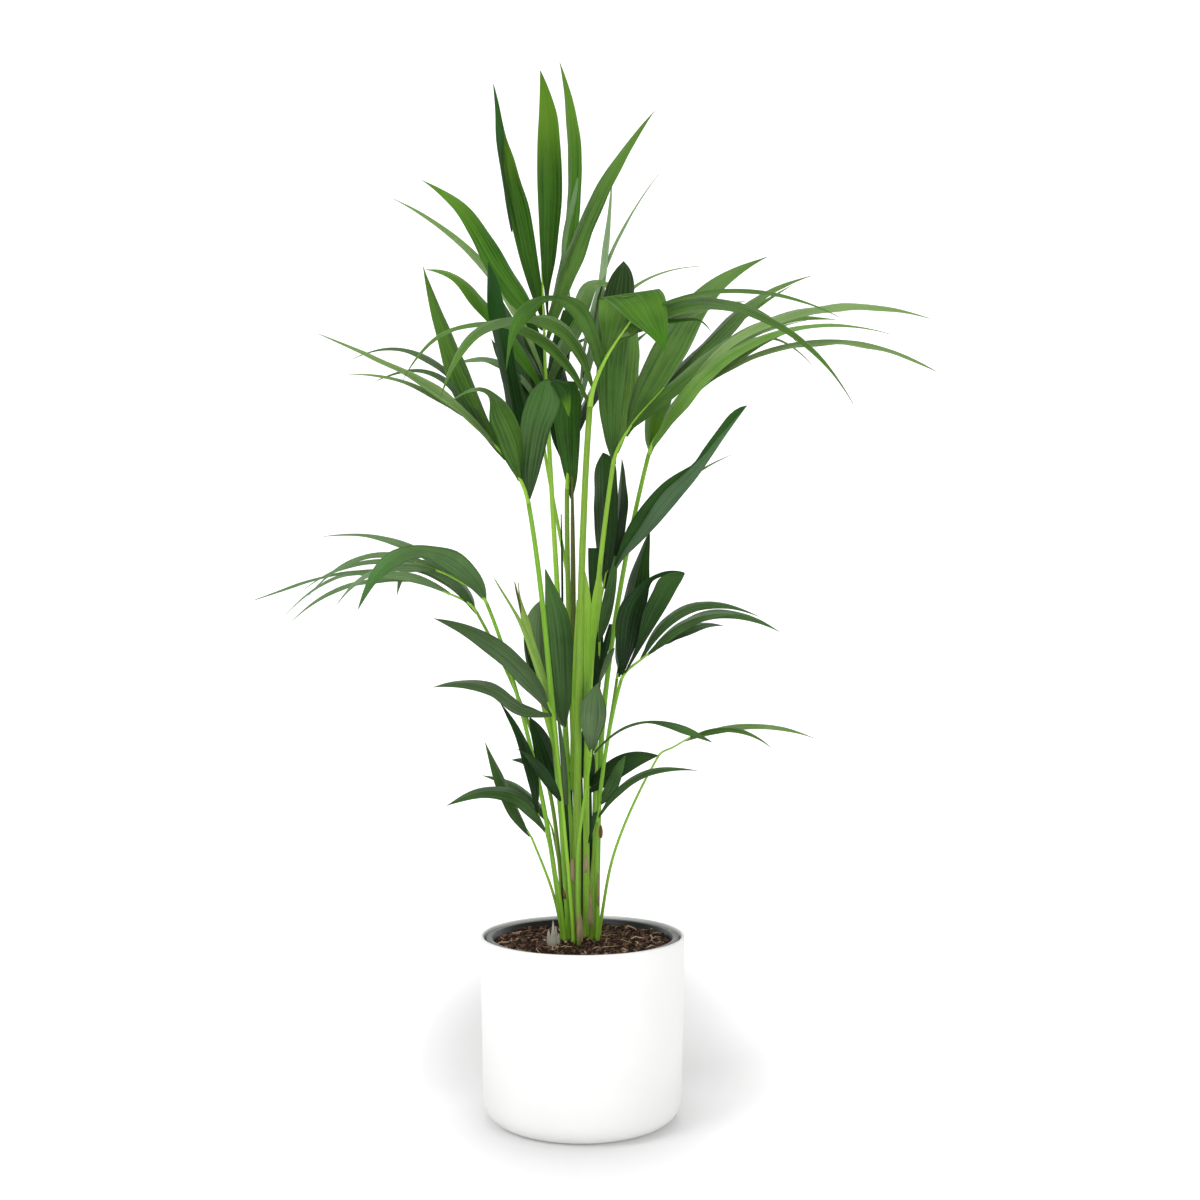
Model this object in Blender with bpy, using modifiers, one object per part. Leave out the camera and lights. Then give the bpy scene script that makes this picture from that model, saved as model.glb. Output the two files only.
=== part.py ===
"""Potted kentia palm, metres, +Z up.

A clump of slender stalks stands in a nursery pot inside a plain round planter.
Each stalk carries one frond: a rib with long pointed leaflets.
The origin is the centre of the planter's flat underside, and the plant's front
faces -Y.
"""

import math

import bmesh
import bpy
from mathutils import Vector

CM = 0.01
GAP = 0.0003  # clear space kept between two pieces that touch

# Planter: a straight round cover pot with a rounded foot and a thin lip
PLANTER_HEIGHT = 0.2260
PLANTER_RIM_RADIUS = 0.1250
PLANTER_FOOT_RADIUS = 0.1215
PLANTER_CORNER = 0.0300
PLANTER_WALL = 0.0038
PLANTER_FLOOR = 0.0050

# Nursery pot: the thin plastic pot that the roots grew in
NURSERY_RIM_Z = 0.2232
NURSERY_RIM_RADIUS = 0.1180
NURSERY_RIM_WIDTH = 0.0075
NURSERY_RIM_DROP = 0.0090
NURSERY_FOOT_RADIUS = 0.0950
NURSERY_WALL = 0.0016

SOIL_Z = 0.2185  # top of the compost, where the stalks come out
SOIL_CROWNING = 0.0022  # how far the compost's edge lies below its middle

# The fronds are set out on a front elevation: what is seen from this far in
# front of the pot's axis, at this height and this far to the side. A place on
# the elevation moves along its line of sight as it is set back or forward.
EYE_SIDE = 0.0214
EYE_AWAY = 2.05
EYE_HEIGHT = 0.635

STALK_TIP_SHARE = 0.65  # a stalk's radius at its neck as a share of that at its foot
RIB_END_RADIUS = 0.0011
RIB_PIECES = 4
RIB_SLEEVE = 0.008  # how far the rib's tube starts below the first leaflet
BLADE = 0.0018  # thickness of a leaflet's solid
BLADE_BASE = 0.30  # width at the rib as a share of the full width
BLADE_WIDEST = 0.38  # where along the leaflet it is widest
BLADE_STATIONS = 6

# Each frond, in centimetres:
#   foot   place on the compost (right, back)
#   sway   how far the stalk's middle stands off the straight line (right, back)
#   neck   where the leaflets begin (right, up, back)
#   rib    from the neck to the rib's end (right, up, back)
#   arch   how far the rib's middle stands off the straight line (right, up)
#   thick  radius of the stalk's foot, millimetres
# and each leaflet:
#   at     place on the rib, 0 at the neck and 1 at its end
#   way    what it passes on its way, from its base (right, up)
#   tip    where it ends, from its base (right, up)
#   back   how far behind the pot's axis its tip lies
#   wide   full width
#   turn   degrees that the blade is turned from facing the front
FRONDS = {
    "top": dict(foot=(-0.7, 2.6), sway=(0.0, 0.3), neck=(-4.4, 88.0, 5.5), rib=(-0.6, 16.6, 2.2), thick=4.2, leaflets=[
        (0.04, [(-7.8, 10.9), (-12.2, 14.8)], (-14.8, 15.3), -4, 3.8, 60),
        (0.11, [(-2.7, 6.6), (-7.5, 14.2)], (-18.9, 22.9), 18, 1.9, -58),
        (0.52, [(-4.8, 7.2), (-10.7, 15.5)], (-15.0, 18.3), 3, 4.1, 42),
        (0.74, [(-1.6, 3.9), (-3.8, 14.1)], (-6.1, 26.5), 13, 3.9, 35),
        (0.78, [(1.1, 14.3)], (-0.2, 27.3), 8, 3.3, 15),
        (0.52, [(2.3, 9.1), (3.5, 20.2)], (1.9, 32.8), 15, 3.0, 48),
        (0.40, [(2.5, 9.0), (7.0, 19.3)], (13.5, 28.8), 3, 3.6, 40),
        (0.09, [(3.3, 8.1), (5.9, 12.8)], (9.2, 11.9), 24, 4.3, 52),
        (0.06, [(-2.5, 4.5)], (-5.3, 9.8), 12, 2.8, 52),
    ]),
    "left": dict(foot=(-1.6, -0.6), sway=(0.6, -0.2), neck=(-6.6, 75.3, -5.0), rib=(-8.1, 10.8, -3.5), arch=(1.4, 0.1), thick=4.2, leaflets=[
        (0.00, [(0.9, 7.7), (2.2, 14.2)], (5.2, 10.6), -17, 5.3, 30),
        (0.06, [(-1.7, 11.0), (-3.7, 22.1)], (-4.8, 28.9), -1, 3.5, -50),
        (0.24, [(-2.0, 7.4), (-4.5, 11.1)], (-9.3, 9.1), -19, 4.4, 44),
        (0.50, [(-4.7, 8.9)], (-10.3, 23.6), -3, 4.4, 50),
        (0.62, [(-8.4, 8.0), (-15.1, 11.1)], (-22.1, 14.0), -17, 2.7, 64),
        (0.74, [(-4.4, 7.8), (-11.1, 10.9)], (-16.4, 9.6), 4, 2.2, 62),
        (0.86, [(-5.3, 6.8)], (-12.3, 5.6), -4, 2.0, 62),
        (1.00, [(-6.7, 4.1)], (-13.9, 5.0), -12, 1.9, 68),
    ]),
    "front": dict(foot=(-0.7, -1.3), sway=(-0.5, -0.6), neck=(0.9, 87.2, -9.0), rib=(5.2, 10.8, -9.0), arch=(-0.9, 0.0), thick=5.3, leaflets=[
        (0.02, [(-8.0, 9.4), (-17.5, 9.0)], (-22.9, 3.0), -17, 2.8, 52),
        (0.20, [(-4.9, 8.1), (-11.9, 8.1)], (-18.7, -1.3), -25, 3.4, 52),
        (0.38, [(-1.7, 6.3), (-7.0, 8.8)], (-11.3, -0.1), -31, 4.1, 50),
        (0.38, [(2.2, 7.2), (4.8, 8.8)], (7.7, 2.2), -33, 6.6, 16),
        (0.72, [(8.6, 5.5), (18.6, 3.2)], (29.1, -7.4), -22, 4.5, 58),
        (0.80, [(8.1, 3.3)], (15.4, 4.2), -11, 2.8, 56),
        (0.92, [(6.0, 0.7), (9.1, 0.5)], (10.2, -0.8), -15, 1.5, 58),
        (1.00, [(9.7, 3.4), (17.2, 3.1)], (25.4, 0.1), -22, 1.4, 60),
        (0.76, [(8.9, 4.9), (18.4, 2.9)], (22.2, -0.7), -14, 2.2, 58),
    ]),
    "right_back": dict(foot=(0.4, 0.9), sway=(-1.3, -0.5), neck=(3.7, 79.9, 2.5), rib=(6.3, 9.6, 4.0), arch=(-1.0, 0.0), thick=4.2, leaflets=[
        (0.02, [(-0.5, 9.0)], (1.3, 24.9), 15, 4.6, 28),
        (0.16, [(0.8, 7.0)], (2.3, 18.0), 20, 4.0, 38),
        (0.38, [(3.9, 8.5), (10.7, 18.1)], (17.5, 21.9), 18, 5.9, 36),
        (0.62, [(8.4, 9.0), (14.6, 14.5)], (21.3, 17.3), 22, 4.2, 58),
        (0.48, [(7.4, 7.0), (17.7, 13.1)], (25.3, 13.3), 10, 3.9, 52),
        (0.95, [(6.7, 4.9)], (17.8, 8.7), 27, 2.4, 68),
        (0.70, [(8.4, 8.7)], (18.3, 15.4), 24, 2.6, 56),
    ]),
    "right": dict(foot=(1.6, 3.4), sway=(-2.1, 0.4), neck=(8.1, 81.3, 6.0), rib=(8.1, 9.7, -3.0), arch=(-0.6, 0.5), thick=4, leaflets=[
        (0.00, [(1.0, 6.5)], (5.9, 16.5), 26, 3.7, 38),
        (0.06, [(5.5, 8.3), (17.1, 14.7)], (29.2, 14.1), -10, 3.8, 56),
        (0.40, [(7.2, 9.5), (21.8, 13.9)], (31.9, 12.3), -3, 2.7, 60),
        (0.62, [(7.4, 5.4), (19.9, 7.5)], (30.8, 3.7), -4, 3.0, 66),
        (0.80, [(9.1, 6.3)], (13.9, 2.9), 4, 1.6, 62),
        (0.92, [(4.5, 3.6)], (10.0, 6.1), 4, 2.0, 62),
    ]),
    "back_mid": dict(foot=(-0.1, 5.5), sway=(-0.3, 0.5), neck=(-1.9, 77.0, 11.5), rib=(1.8, 13.7, 8.0), thick=4.6, leaflets=[
        (0.00, [(0.3, 6.5)], (1.6, 16.5), 27, 4.8, 38),
        (0.18, [(-0.9, 7.0)], (-1.6, 17.0), 22, 4.4, 40),
        (0.46, [(4.0, 8.5)], (9.3, 13.2), 36, 3.6, 55),
        (0.70, [(3.0, 17.0)], (4.3, 29.0), 31, 2.4, 58),
        (0.88, [(2.9, 14.8)], (9.8, 26.8), 31, 1.4, 60),
        (1.00, [(6.9, 11.6)], (15.0, 13.7), 33, 1.9, 66),
    ]),
    "back_left": dict(foot=(0.8, 6.2), sway=(2.3, 0.6), neck=(-4.7, 82.0, 13.0), rib=(-0.6, 7.6, 9.0), thick=3.2, leaflets=[
        (0.00, [(-3.1, 7.6)], (-6.5, 13.5), 27, 4.4, 52),
        (0.30, [(-2.4, 8.7)], (-5.6, 17.0), 42, 4.2, 48),
        (0.50, [(2.1, 7.9)], (3.4, 15.5), 48, 4.0, 48),
        (0.70, [(-5.0, 5.4)], (-12.0, 4.5), 38, 3.4, 62),
        (0.90, [(2.4, 4.8)], (6.5, 7.0), 44, 3.4, 58),
        (1.00, [(-1.1, 4.8)], (-2.5, 9.0), 50, 3.2, 58),
    ]),
    "left_mid_upper": dict(foot=(-2.4, 0.1), sway=(1.4, -0.4), neck=(-11.7, 63.0, -6.5), rib=(-8.9, 5.1, -6.5), arch=(0.5, 0.6), thick=3.2, leaflets=[
        (0.00, [(-4.0, 4.9), (-9.4, 5.6)], (-15.8, -1.0), -23, 4.3, 46),
        (0.40, [(-7.4, 4.9)], (-17.0, 5.6), -5, 2.4, 64),
        (0.60, [(-8.9, 2.6)], (-17.0, -2.6), -10, 2.8, 66),
        (0.74, [(-7.4, 0.0)], (-12.1, -4.2), -27, 2.7, 62),
        (0.90, [(-6.6, 0.6)], (-14.6, -3.0), -19, 2.2, 68),
    ]),
    "left_mid_lower": dict(foot=(-2.1, 2.4), sway=(3.0, 0.6), neck=(-12.9, 61.9, 7.0), rib=(-8.9, 4.2, 5.0), arch=(0.5, 0.5), thick=2.9, leaflets=[
        (0.00, [(-4.4, 5.2), (-8.3, 5.9)], (-9.8, 2.2), 16, 3.4, 54),
        (0.50, [(-9.2, 3.6)], (-22.7, -0.2), 11, 3.0, 64),
        (0.70, [(-8.6, 1.8)], (-17.6, -3.6), 22, 2.4, 66),
        (0.92, [(-7.4, -0.4)], (-14.6, -5.0), 15, 2.0, 68),
    ]),
    "left_pair": dict(foot=(-1.1, -2.0), sway=(0.2, -0.6), neck=(-3.6, 49.3, -5.0), rib=(-0.7, 1.7, -0.8), thick=2.4, leaflets=[
        (0.10, [(-3.1, 0.7), (-7.7, 3.3)], (-14.7, 3.3), -17, 2.7, 54),
        (0.08, [(-2.1, 3.6)], (-14.6, 11.8), -10, 3.5, 42),
    ]),
    "centre": dict(foot=(-1.0, 0.6), sway=(0.2, 0.1), neck=(-2.2, 47.7, 0.6), rib=(-0.2, 2.1, 0.0), thick=2.8, leaflets=[
        (0.20, [(-3.0, 8.0)], (-2.8, 15.4), 2.4, 3.6, 34),
        (0.60, [(-0.3, 9.5)], (-2.2, 18.3), -0.9, 3.9, 32),
    ]),
    "spear": dict(foot=(-1.8, 1.5), sway=(0.2, -0.3), neck=(-3.7, 47.0, -1.6), rib=(-0.3, 2.4, -0.3), thick=2.6, leaflets=[
        (0.30, [(-2.0, 7.4)], (-7.0, 18.3), -3, 1.5, 24),
        (0.90, [(-1.6, 7.6)], (-4.0, 16.6), -4, 2.2, 38),
    ]),
    "big_right": dict(foot=(1.2, 1.5), sway=(-0.1, 0.4), neck=(2.2, 63.2, 5.0), rib=(0.7, 3.7, 0.6), thick=3.2, leaflets=[
        (0.30, [(6.3, 10.2), (13.2, 17.4)], (17.7, 23.0), -5, 4.2, 46),
        (0.45, [(0.2, 8.1)], (-0.0, 16.7), 12, 4.2, 44),
        (0.75, [(1.8, 7.9)], (2.1, 14.9), 16, 3.1, 54),
        (0.95, [(4.6, 6.2), (10.1, 11.7)], (15.5, 14.6), 16, 1.3, 55),
    ]),
    "right_mid": dict(foot=(1.8, -0.5), sway=(-1.3, -0.2), neck=(4.7, 53.6, -2.0), rib=(5.8, 4.8, -4.0), arch=(-0.3, 0.3), thick=3.2, leaflets=[
        (0.00, [(1.2, 8.2), (4.2, 12.7)], (7.1, 13.5), -8, 3.9, 36),
        (0.20, [(2.9, 6.6)], (5.6, 12.3), -15, 3.8, 34),
        (0.45, [(5.6, 6.4)], (14.6, 5.4), 2, 3.1, 56),
        (0.60, [(5.8, 4.4)], (11.8, 4.9), -15, 2.4, 62),
        (0.70, [(7.0, 4.6)], (15.6, 2.4), -6, 3.3, 60),
        (0.94, [(3.8, 2.2)], (7.1, 2.2), 1, 2.4, 64),
    ]),
    "right_mid_back": dict(foot=(1.8, 4.7), sway=(-1.0, 0.3), neck=(4.2, 53.8, 7.0), rib=(0.4, 2.8, 1.5), thick=2.9, leaflets=[
        (0.10, [(1.6, 8.4)], (4.0, 18.0), 14, 4.6, 46),
        (0.90, [(2.8, 4.2)], (6.0, 8.0), 22, 3.2, 56),
    ]),
    "low_dark": dict(foot=(-0.5, 4.0), sway=(-0.2, 0.1), neck=(-2.6, 38.7, 3.4), rib=(-0.6, 2.2, 0.2), thick=2.1, leaflets=[
        (0.15, [(-2.8, 3.9)], (-6.0, 6.4), 0, 2.8, 52),
        (0.55, [(-1.1, 4.2)], (-3.6, 9.3), 3, 4.0, 44),
        (0.95, [(-3.3, 2.9)], (-5.6, 3.1), 4.4, 2.3, 56),
    ]),
    "low_left_a": dict(foot=(-2.2, -1.3), sway=(0.4, -0.2), neck=(-4.4, 34.8, -4.0), rib=(-1.1, 2.6, -0.8), thick=2.2, leaflets=[
        (0.10, [(-3.1, 4.1)], (-12.2, 3.2), -12, 2.8, 56),
        (0.95, [(-1.2, 7.0)], (-4.7, 13.7), -7, 2.3, 54),
    ]),
    "low_left_b": dict(foot=(-1.8, 4.0), sway=(0.2, 0.2), neck=(-3.7, 35.4, 5.2), rib=(-0.7, 1.7, 0.4), thick=2, leaflets=[
        (0.40, [(-3.2, 3.9)], (-8.3, 5.9), 9, 2.4, 60),
    ]),
    "low_left_c": dict(foot=(-2.6, 0.8), sway=(0.6, 0.0), neck=(-6.2, 34.3, -1.5), rib=(-0.5, 0.9, -0.2), thick=2.1, leaflets=[
        (0.30, [(-2.6, 4.7)], (-5.6, 11.5), -3, 2.7, 58),
    ]),
    "low_centre": dict(foot=(-0.4, -2.5), sway=(-0.8, -0.4), neck=(1.0, 44.3, -6.4), rib=(0.1, 0.9, -0.4), thick=2.5, leaflets=[
        (0.10, [(0.4, 5.2)], (0.9, 9.0), -8, 4.0, 26),
        (0.90, [(3.1, 2.4), (7.2, 3.4)], (14.8, 1.2), -15, 2.6, 58),
    ]),
    "low_right": dict(foot=(1.1, -0.7), sway=(-0.4, -0.4), neck=(1.8, 36.3, -2.4), rib=(0.4, 2.3, -0.6), thick=2.2, leaflets=[
        (0.20, [(3.8, 4.5)], (12.2, 5.8), -11, 1.5, 58),
        (0.95, [(1.3, 2.6)], (3.1, 6.0), -4, 2.4, 46),
    ]),
    "low_thin": dict(foot=(2.1, 1.6), sway=(-1.6, -0.2), neck=(9.3, 44.4, -1.5), rib=(3.9, 2.3, -1.0), thick=2.1, leaflets=[
        (0.80, [(7.2, 1.9)], (16.0, 0.3), -1, 1.5, 62),
        (1.00, [(5.2, 1.0)], (9.9, -1.3), -10, 1.5, 64),
    ]),
    "low_mid": dict(foot=(0.5, 3.2), sway=(0.0, -0.1), neck=(0.2, 39.0, 2.0), rib=(0.8, 1.7, 0.2), thick=2.1, leaflets=[
        (0.50, [(3.7, 3.4)], (8.8, 4.6), 2.3, 3.0, 32),
        (0.95, [(-0.4, 3.9)], (-0.9, 7.4), 3.4, 2.4, 24),
    ]),
}


def clear_scene():
    for obj in list(bpy.data.objects):
        bpy.data.objects.remove(obj, do_unlink=True)


def collection(name, hidden=False):
    made = bpy.data.collections.new(name)
    bpy.context.scene.collection.children.link(made)
    made.hide_render = hidden
    return made


def material(name, colour, roughness, metallic=0.0):
    made = bpy.data.materials.new(name)
    made.use_nodes = True
    shader = made.node_tree.nodes["Principled BSDF"]
    shader.inputs["Base Color"].default_value = (*colour, 1.0)
    shader.inputs["Roughness"].default_value = roughness
    shader.inputs["Metallic"].default_value = metallic
    return made


def add(name, data, where, finish):
    obj = bpy.data.objects.new(name, data)
    where.objects.link(obj)
    if finish:
        data.materials.append(finish)
    return obj


def turned(name, profile, where, finish, steps=48):
    """A closed outline (radius, height) turned about Z, run down its outer side."""
    mesh = bpy.data.meshes.new(name)
    mesh.from_pydata([(r, 0.0, z) for r, z in profile], [(i, i + 1) for i in range(len(profile) - 1)], [])
    obj = add(name, mesh, where, finish)
    screw = obj.modifiers.new("turn", "SCREW")
    screw.axis = "Z"
    screw.angle = math.tau
    screw.steps = screw.render_steps = steps
    screw.use_merge_vertices = True
    screw.merge_threshold = 0.00005
    screw.use_smooth_shade = True
    return obj


def arc(centre_r, centre_z, radius, start, end, count):
    turns = [math.radians(start + (end - start) * i / count) for i in range(count + 1)]
    return [(centre_r + radius * math.cos(a), centre_z + radius * math.sin(a)) for a in turns]


def planter(where):
    finish = material("planter_white", (0.88, 0.88, 0.87), 0.55)
    corner = arc(PLANTER_FOOT_RADIUS - PLANTER_CORNER, PLANTER_CORNER, PLANTER_CORNER, 0, -90, 4)
    inner_corner = PLANTER_CORNER - PLANTER_WALL
    inside = arc(PLANTER_FOOT_RADIUS - PLANTER_CORNER, PLANTER_FLOOR + inner_corner, inner_corner, -90, 0, 3)
    lip = PLANTER_WALL / 2
    rim = arc(PLANTER_RIM_RADIUS - lip, PLANTER_HEIGHT - lip, lip, 180, 0, 2)
    return turned("planter", rim + corner + [(0.0, 0.0), (0.0, PLANTER_FLOOR)] + inside + rim[:1], where, finish, 28)


def nursery_radius(z):
    """Outer radius of the nursery pot's tapering wall."""
    low = PLANTER_FLOOR + GAP
    share = (z - low) / (NURSERY_RIM_Z - low)
    return NURSERY_FOOT_RADIUS + (NURSERY_RIM_RADIUS - NURSERY_RIM_WIDTH + NURSERY_WALL - NURSERY_FOOT_RADIUS) * share


def nursery_pot(where):
    finish = material("nursery_black", (0.02, 0.022, 0.026), 0.45)
    low = PLANTER_FLOOR + GAP
    out, z = NURSERY_RIM_RADIUS, NURSERY_RIM_Z
    under = z - NURSERY_RIM_DROP
    outline = [
        (nursery_radius(z) - NURSERY_WALL, z),
        (out - 0.0008, z),
        (out, z - 0.0008),
        (out, under),
        (out - NURSERY_WALL, under),
        (out - NURSERY_WALL, z - NURSERY_WALL),
        (nursery_radius(z - NURSERY_WALL), z - NURSERY_WALL),
        (nursery_radius(low + 0.004), low + 0.004),
        (nursery_radius(low) - 0.004, low),
        (0.0, low),
        (0.0, low + NURSERY_WALL),
        (nursery_radius(low) - 0.004 - NURSERY_WALL, low + NURSERY_WALL),
        (nursery_radius(low + 0.005) - NURSERY_WALL, low + 0.005),
        (nursery_radius(z) - NURSERY_WALL, z),
    ]
    return turned("nursery_pot", outline, where, finish, 28)


def soil(where):
    finish = material("compost", (0.07, 0.045, 0.03), 0.95)
    low = PLANTER_FLOOR + 2 * GAP + NURSERY_WALL
    edge = SOIL_Z - SOIL_CROWNING

    def inner(z):
        return nursery_radius(z) - NURSERY_WALL - GAP

    outline = [
        (0.0, SOIL_Z),
        (0.050, SOIL_Z),
        (0.085, SOIL_Z - 0.6 * SOIL_CROWNING),
        (inner(edge) - 0.001, edge),
        (inner(low + 0.006), low + 0.006),
        (inner(low) - 0.006, low),
        (0.0, low),
    ]
    return turned("soil", outline, where, finish, 28)


def set_back(right, up, back):
    """The place that a point of the front elevation takes when it is set back."""
    share = (EYE_AWAY + back) / EYE_AWAY
    return Vector((EYE_SIDE + (right - EYE_SIDE) * share, back, EYE_HEIGHT + (up - EYE_HEIGHT) * share))


def seen(point):
    """(right, up, back) on the front elevation of a point in space."""
    share = EYE_AWAY / (EYE_AWAY + point.y)
    return Vector((EYE_SIDE + (point.x - EYE_SIDE) * share, EYE_HEIGHT + (point.z - EYE_HEIGHT) * share, point.y))


def smooth(points, per_span):
    """A smooth line through points, closer where they are closer."""
    points = [points[0] * 2 - points[1]] + list(points) + [points[-1] * 2 - points[-2]]
    line = []
    for i in range(1, len(points) - 2):
        p0, p1, p2, p3 = points[i - 1:i + 3]
        d0, d1, d2 = (p1 - p0).length, (p2 - p1).length, (p3 - p2).length
        m1 = (p2 - p0) * (d1 / (d0 + d1))
        m2 = (p3 - p1) * (d1 / (d1 + d2))
        for k in range(per_span):
            u = k / per_span
            line.append(
                p1 * (2 * u**3 - 3 * u**2 + 1) + m1 * (u**3 - 2 * u**2 + u)
                + p2 * (3 * u**2 - 2 * u**3) + m2 * (u**3 - u**2)
            )
    return line + [points[-2]]


def spine(sizes):
    """The stalk's middle line from its foot to the neck, and the rib's from there to its end."""
    foot = Vector((sizes["foot"][0] * CM, sizes["foot"][1] * CM, SOIL_Z + GAP))
    neck = set_back(*(v * CM for v in sizes["neck"]))
    reach = [a + b for a, b in zip(sizes["neck"], sizes["rib"])]
    end = set_back(*(v * CM for v in reach))
    arch = sizes.get("arch", (0.0, 0.0))
    crest = [a + b / 2 for a, b in zip(sizes["neck"], sizes["rib"])]
    crest = set_back((crest[0] + arch[0]) * CM, (crest[1] + arch[1]) * CM, crest[2] * CM)
    middle = foot.lerp(neck, 0.5) + Vector((sizes["sway"][0], sizes["sway"][1], 0)) * CM
    above = foot + Vector((0, 0, 0.012))
    line = smooth([foot, above, middle, neck, crest, end], 3)
    return [line[0]] + line[3:10], line[9:]


def along(line, share):
    """The point at this share of a line's points."""
    place = share * (len(line) - 1)
    i = min(int(place), len(line) - 2)
    return line[i].lerp(line[i + 1], place - i)


def tube(name, line, radii, where, finish, sides=1):
    curve = bpy.data.curves.new(name, "CURVE")
    curve.dimensions = "3D"
    curve.bevel_depth = 1.0
    curve.bevel_resolution = sides
    curve.use_fill_caps = True
    run = curve.splines.new("POLY")
    run.points.add(len(line) - 1)
    for point, place, radius in zip(run.points, line, radii):
        point.co = (*place, 1.0)
        point.radius = radius
    return add(name, curve, where, finish)


def as_mesh(obj):
    """Replaces a curve by its mesh, with the caps welded on."""
    graph = bpy.context.evaluated_depsgraph_get()
    mesh = bpy.data.meshes.new_from_object(obj.evaluated_get(graph))
    work = bmesh.new()
    work.from_mesh(mesh)
    bmesh.ops.remove_doubles(work, verts=work.verts, dist=0.00001)
    bmesh.ops.recalc_face_normals(work, faces=work.faces)
    work.to_mesh(mesh)
    work.free()
    made = bpy.data.objects.new(obj.name + "_mesh", mesh)
    made.matrix_world = obj.matrix_world
    obj.users_collection[0].objects.link(made)
    name = obj.name
    bpy.data.objects.remove(obj, do_unlink=True)
    made.name = name
    return made


def passing(points, per_span):
    """An even curve through points, bent at its ends as much as beside them."""
    steps = [(b - a).length for a, b in zip(points, points[1:])]
    slopes = [(b - a) / step for a, b, step in zip(points, points[1:], steps)]
    ways = [
        (slopes[i] * steps[i - 1] + slopes[i - 1] * steps[i]) / (steps[i - 1] + steps[i])
        for i in range(1, len(slopes))
    ]
    ways = [slopes[0] * 2 - ways[0]] + ways + [slopes[-1] * 2 - ways[-1]]
    line = []
    for i, step in enumerate(steps):
        for k in range(per_span):
            u = k / per_span
            line.append(
                points[i] * (2 * u**3 - 3 * u**2 + 1) + ways[i] * step * (u**3 - 2 * u**2 + u)
                + points[i + 1] * (3 * u**2 - 2 * u**3) + ways[i + 1] * step * (u**3 - u**2)
            )
    return line + [points[-1]]


def evenly(line, count):
    """Points at even distances along a line."""
    reached = [0.0]
    for a, b in zip(line, line[1:]):
        reached.append(reached[-1] + (b - a).length)
    places, i = [], 0
    for k in range(count + 1):
        goal = reached[-1] * k / count
        while i < len(line) - 2 and reached[i + 1] < goal:
            i += 1
        places.append(line[i].lerp(line[i + 1], (goal - reached[i]) / (reached[i + 1] - reached[i])))
    return places


def leaflet_line(rib, leaflet, count):
    """Stations along a leaflet: its middle line, and at each the way along it and across it."""
    at, way, tip, back, _, turn = leaflet
    base = seen(along(rib, at))
    drawn = [Vector((0, 0, 0))] + [Vector((x * CM, y * CM, 0)) for x, y in list(way) + [tip]]
    drawn = evenly(passing(drawn, 12), count)
    depth = back * CM - base.z
    places = []
    for i, place in enumerate(drawn):
        u = i / count
        place.z = depth * (0.9 * u + 0.1 * u * u)
        places.append(set_back(*(base + place)))
    side = -1 if tip[0] + way[-1][0] < 0 else 1
    stations = []
    for i, place in enumerate(places):
        along_it = (places[min(i + 1, count)] - places[max(i - 1, 0)]).normalized()
        facing = along_it.cross(Vector((0, 1, 0))).normalized() * -side
        edge = facing.cross(along_it).normalized() * side
        swing = math.radians(turn)
        across = facing * math.cos(swing) + edge * math.sin(swing)
        stations.append((place, along_it, across.normalized()))
    return stations


def width_at(u):
    """A leaflet's width at a share of its length: narrow at the rib, then full, then a long point."""
    if u < BLADE_WIDEST:
        rise = u / BLADE_WIDEST
        return BLADE_BASE + (1 - BLADE_BASE) * math.sin(rise * math.pi / 2)
    fall = (u - BLADE_WIDEST) / (1 - BLADE_WIDEST)
    return max(1 - fall**1.7, 0.03)


def blade(name, rib, leaflet, guides):
    """One leaflet: a ribbon of its outline, given its thickness."""
    count = BLADE_STATIONS - (1 if leaflet[4] > 3.0 else 2)
    points, faces = [], []
    for i, (place, _, across) in enumerate(leaflet_line(rib, leaflet, count)):
        half = across * (leaflet[4] * CM * width_at(i / count) / 2)
        points += [place - half, place + half]
        if i:
            faces.append((2 * i - 2, 2 * i - 1, 2 * i + 1, 2 * i))
    mesh = bpy.data.meshes.new(name)
    mesh.from_pydata(points, [], faces)
    obj = add(name, mesh, guides, None)
    shell = obj.modifiers.new("thickness", "SOLIDIFY")
    shell.thickness = BLADE
    shell.offset = 0.0
    shell.use_even_offset = False
    obj.hide_render = True
    obj.display_type = "WIRE"
    return obj


def frond(name, sizes, where, guides, stalk_finish, leaf_finish):
    stalk, rib = spine(sizes)
    foot_radius = sizes["thick"] / 1000
    neck_radius = foot_radius * STALK_TIP_SHARE
    # the rib's tube starts a little below the neck, and the stalk ends just under that
    last = stalk[-1] - stalk[-2]
    cut = stalk[-1] - last.normalized() * RIB_SLEEVE
    while len(stalk) > 3 and (stalk[-1] - stalk[-2]).length < RIB_SLEEVE + 0.004:
        stalk = stalk[:-2] + stalk[-1:]
    stalk = stalk[:-1] + [cut - last.normalized() * GAP]
    radii = [foot_radius + (neck_radius - foot_radius) * i / (len(stalk) - 1) for i in range(len(stalk))]
    tube(name + "_stalk", stalk, radii, where, stalk_finish)
    rib_line = [cut] + [along(rib, i / RIB_PIECES) for i in range(RIB_PIECES + 1)]
    rib_radii = [neck_radius] + [neck_radius + (RIB_END_RADIUS - neck_radius) * i / RIB_PIECES for i in range(RIB_PIECES + 1)]
    body = as_mesh(tube(name + "_frond", rib_line, rib_radii, where, leaf_finish, 0))
    leaflets = bpy.data.collections.new(name + "_leaflets")
    guides.children.link(leaflets)
    for i, leaflet in enumerate(sizes["leaflets"]):
        blade(f"{name}_leaflet_{i + 1}", rib, leaflet, leaflets)
    join = body.modifiers.new("leaflets", "BOOLEAN")
    join.operation = "UNION"
    join.operand_type = "COLLECTION"
    join.collection = leaflets
    return body


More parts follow.
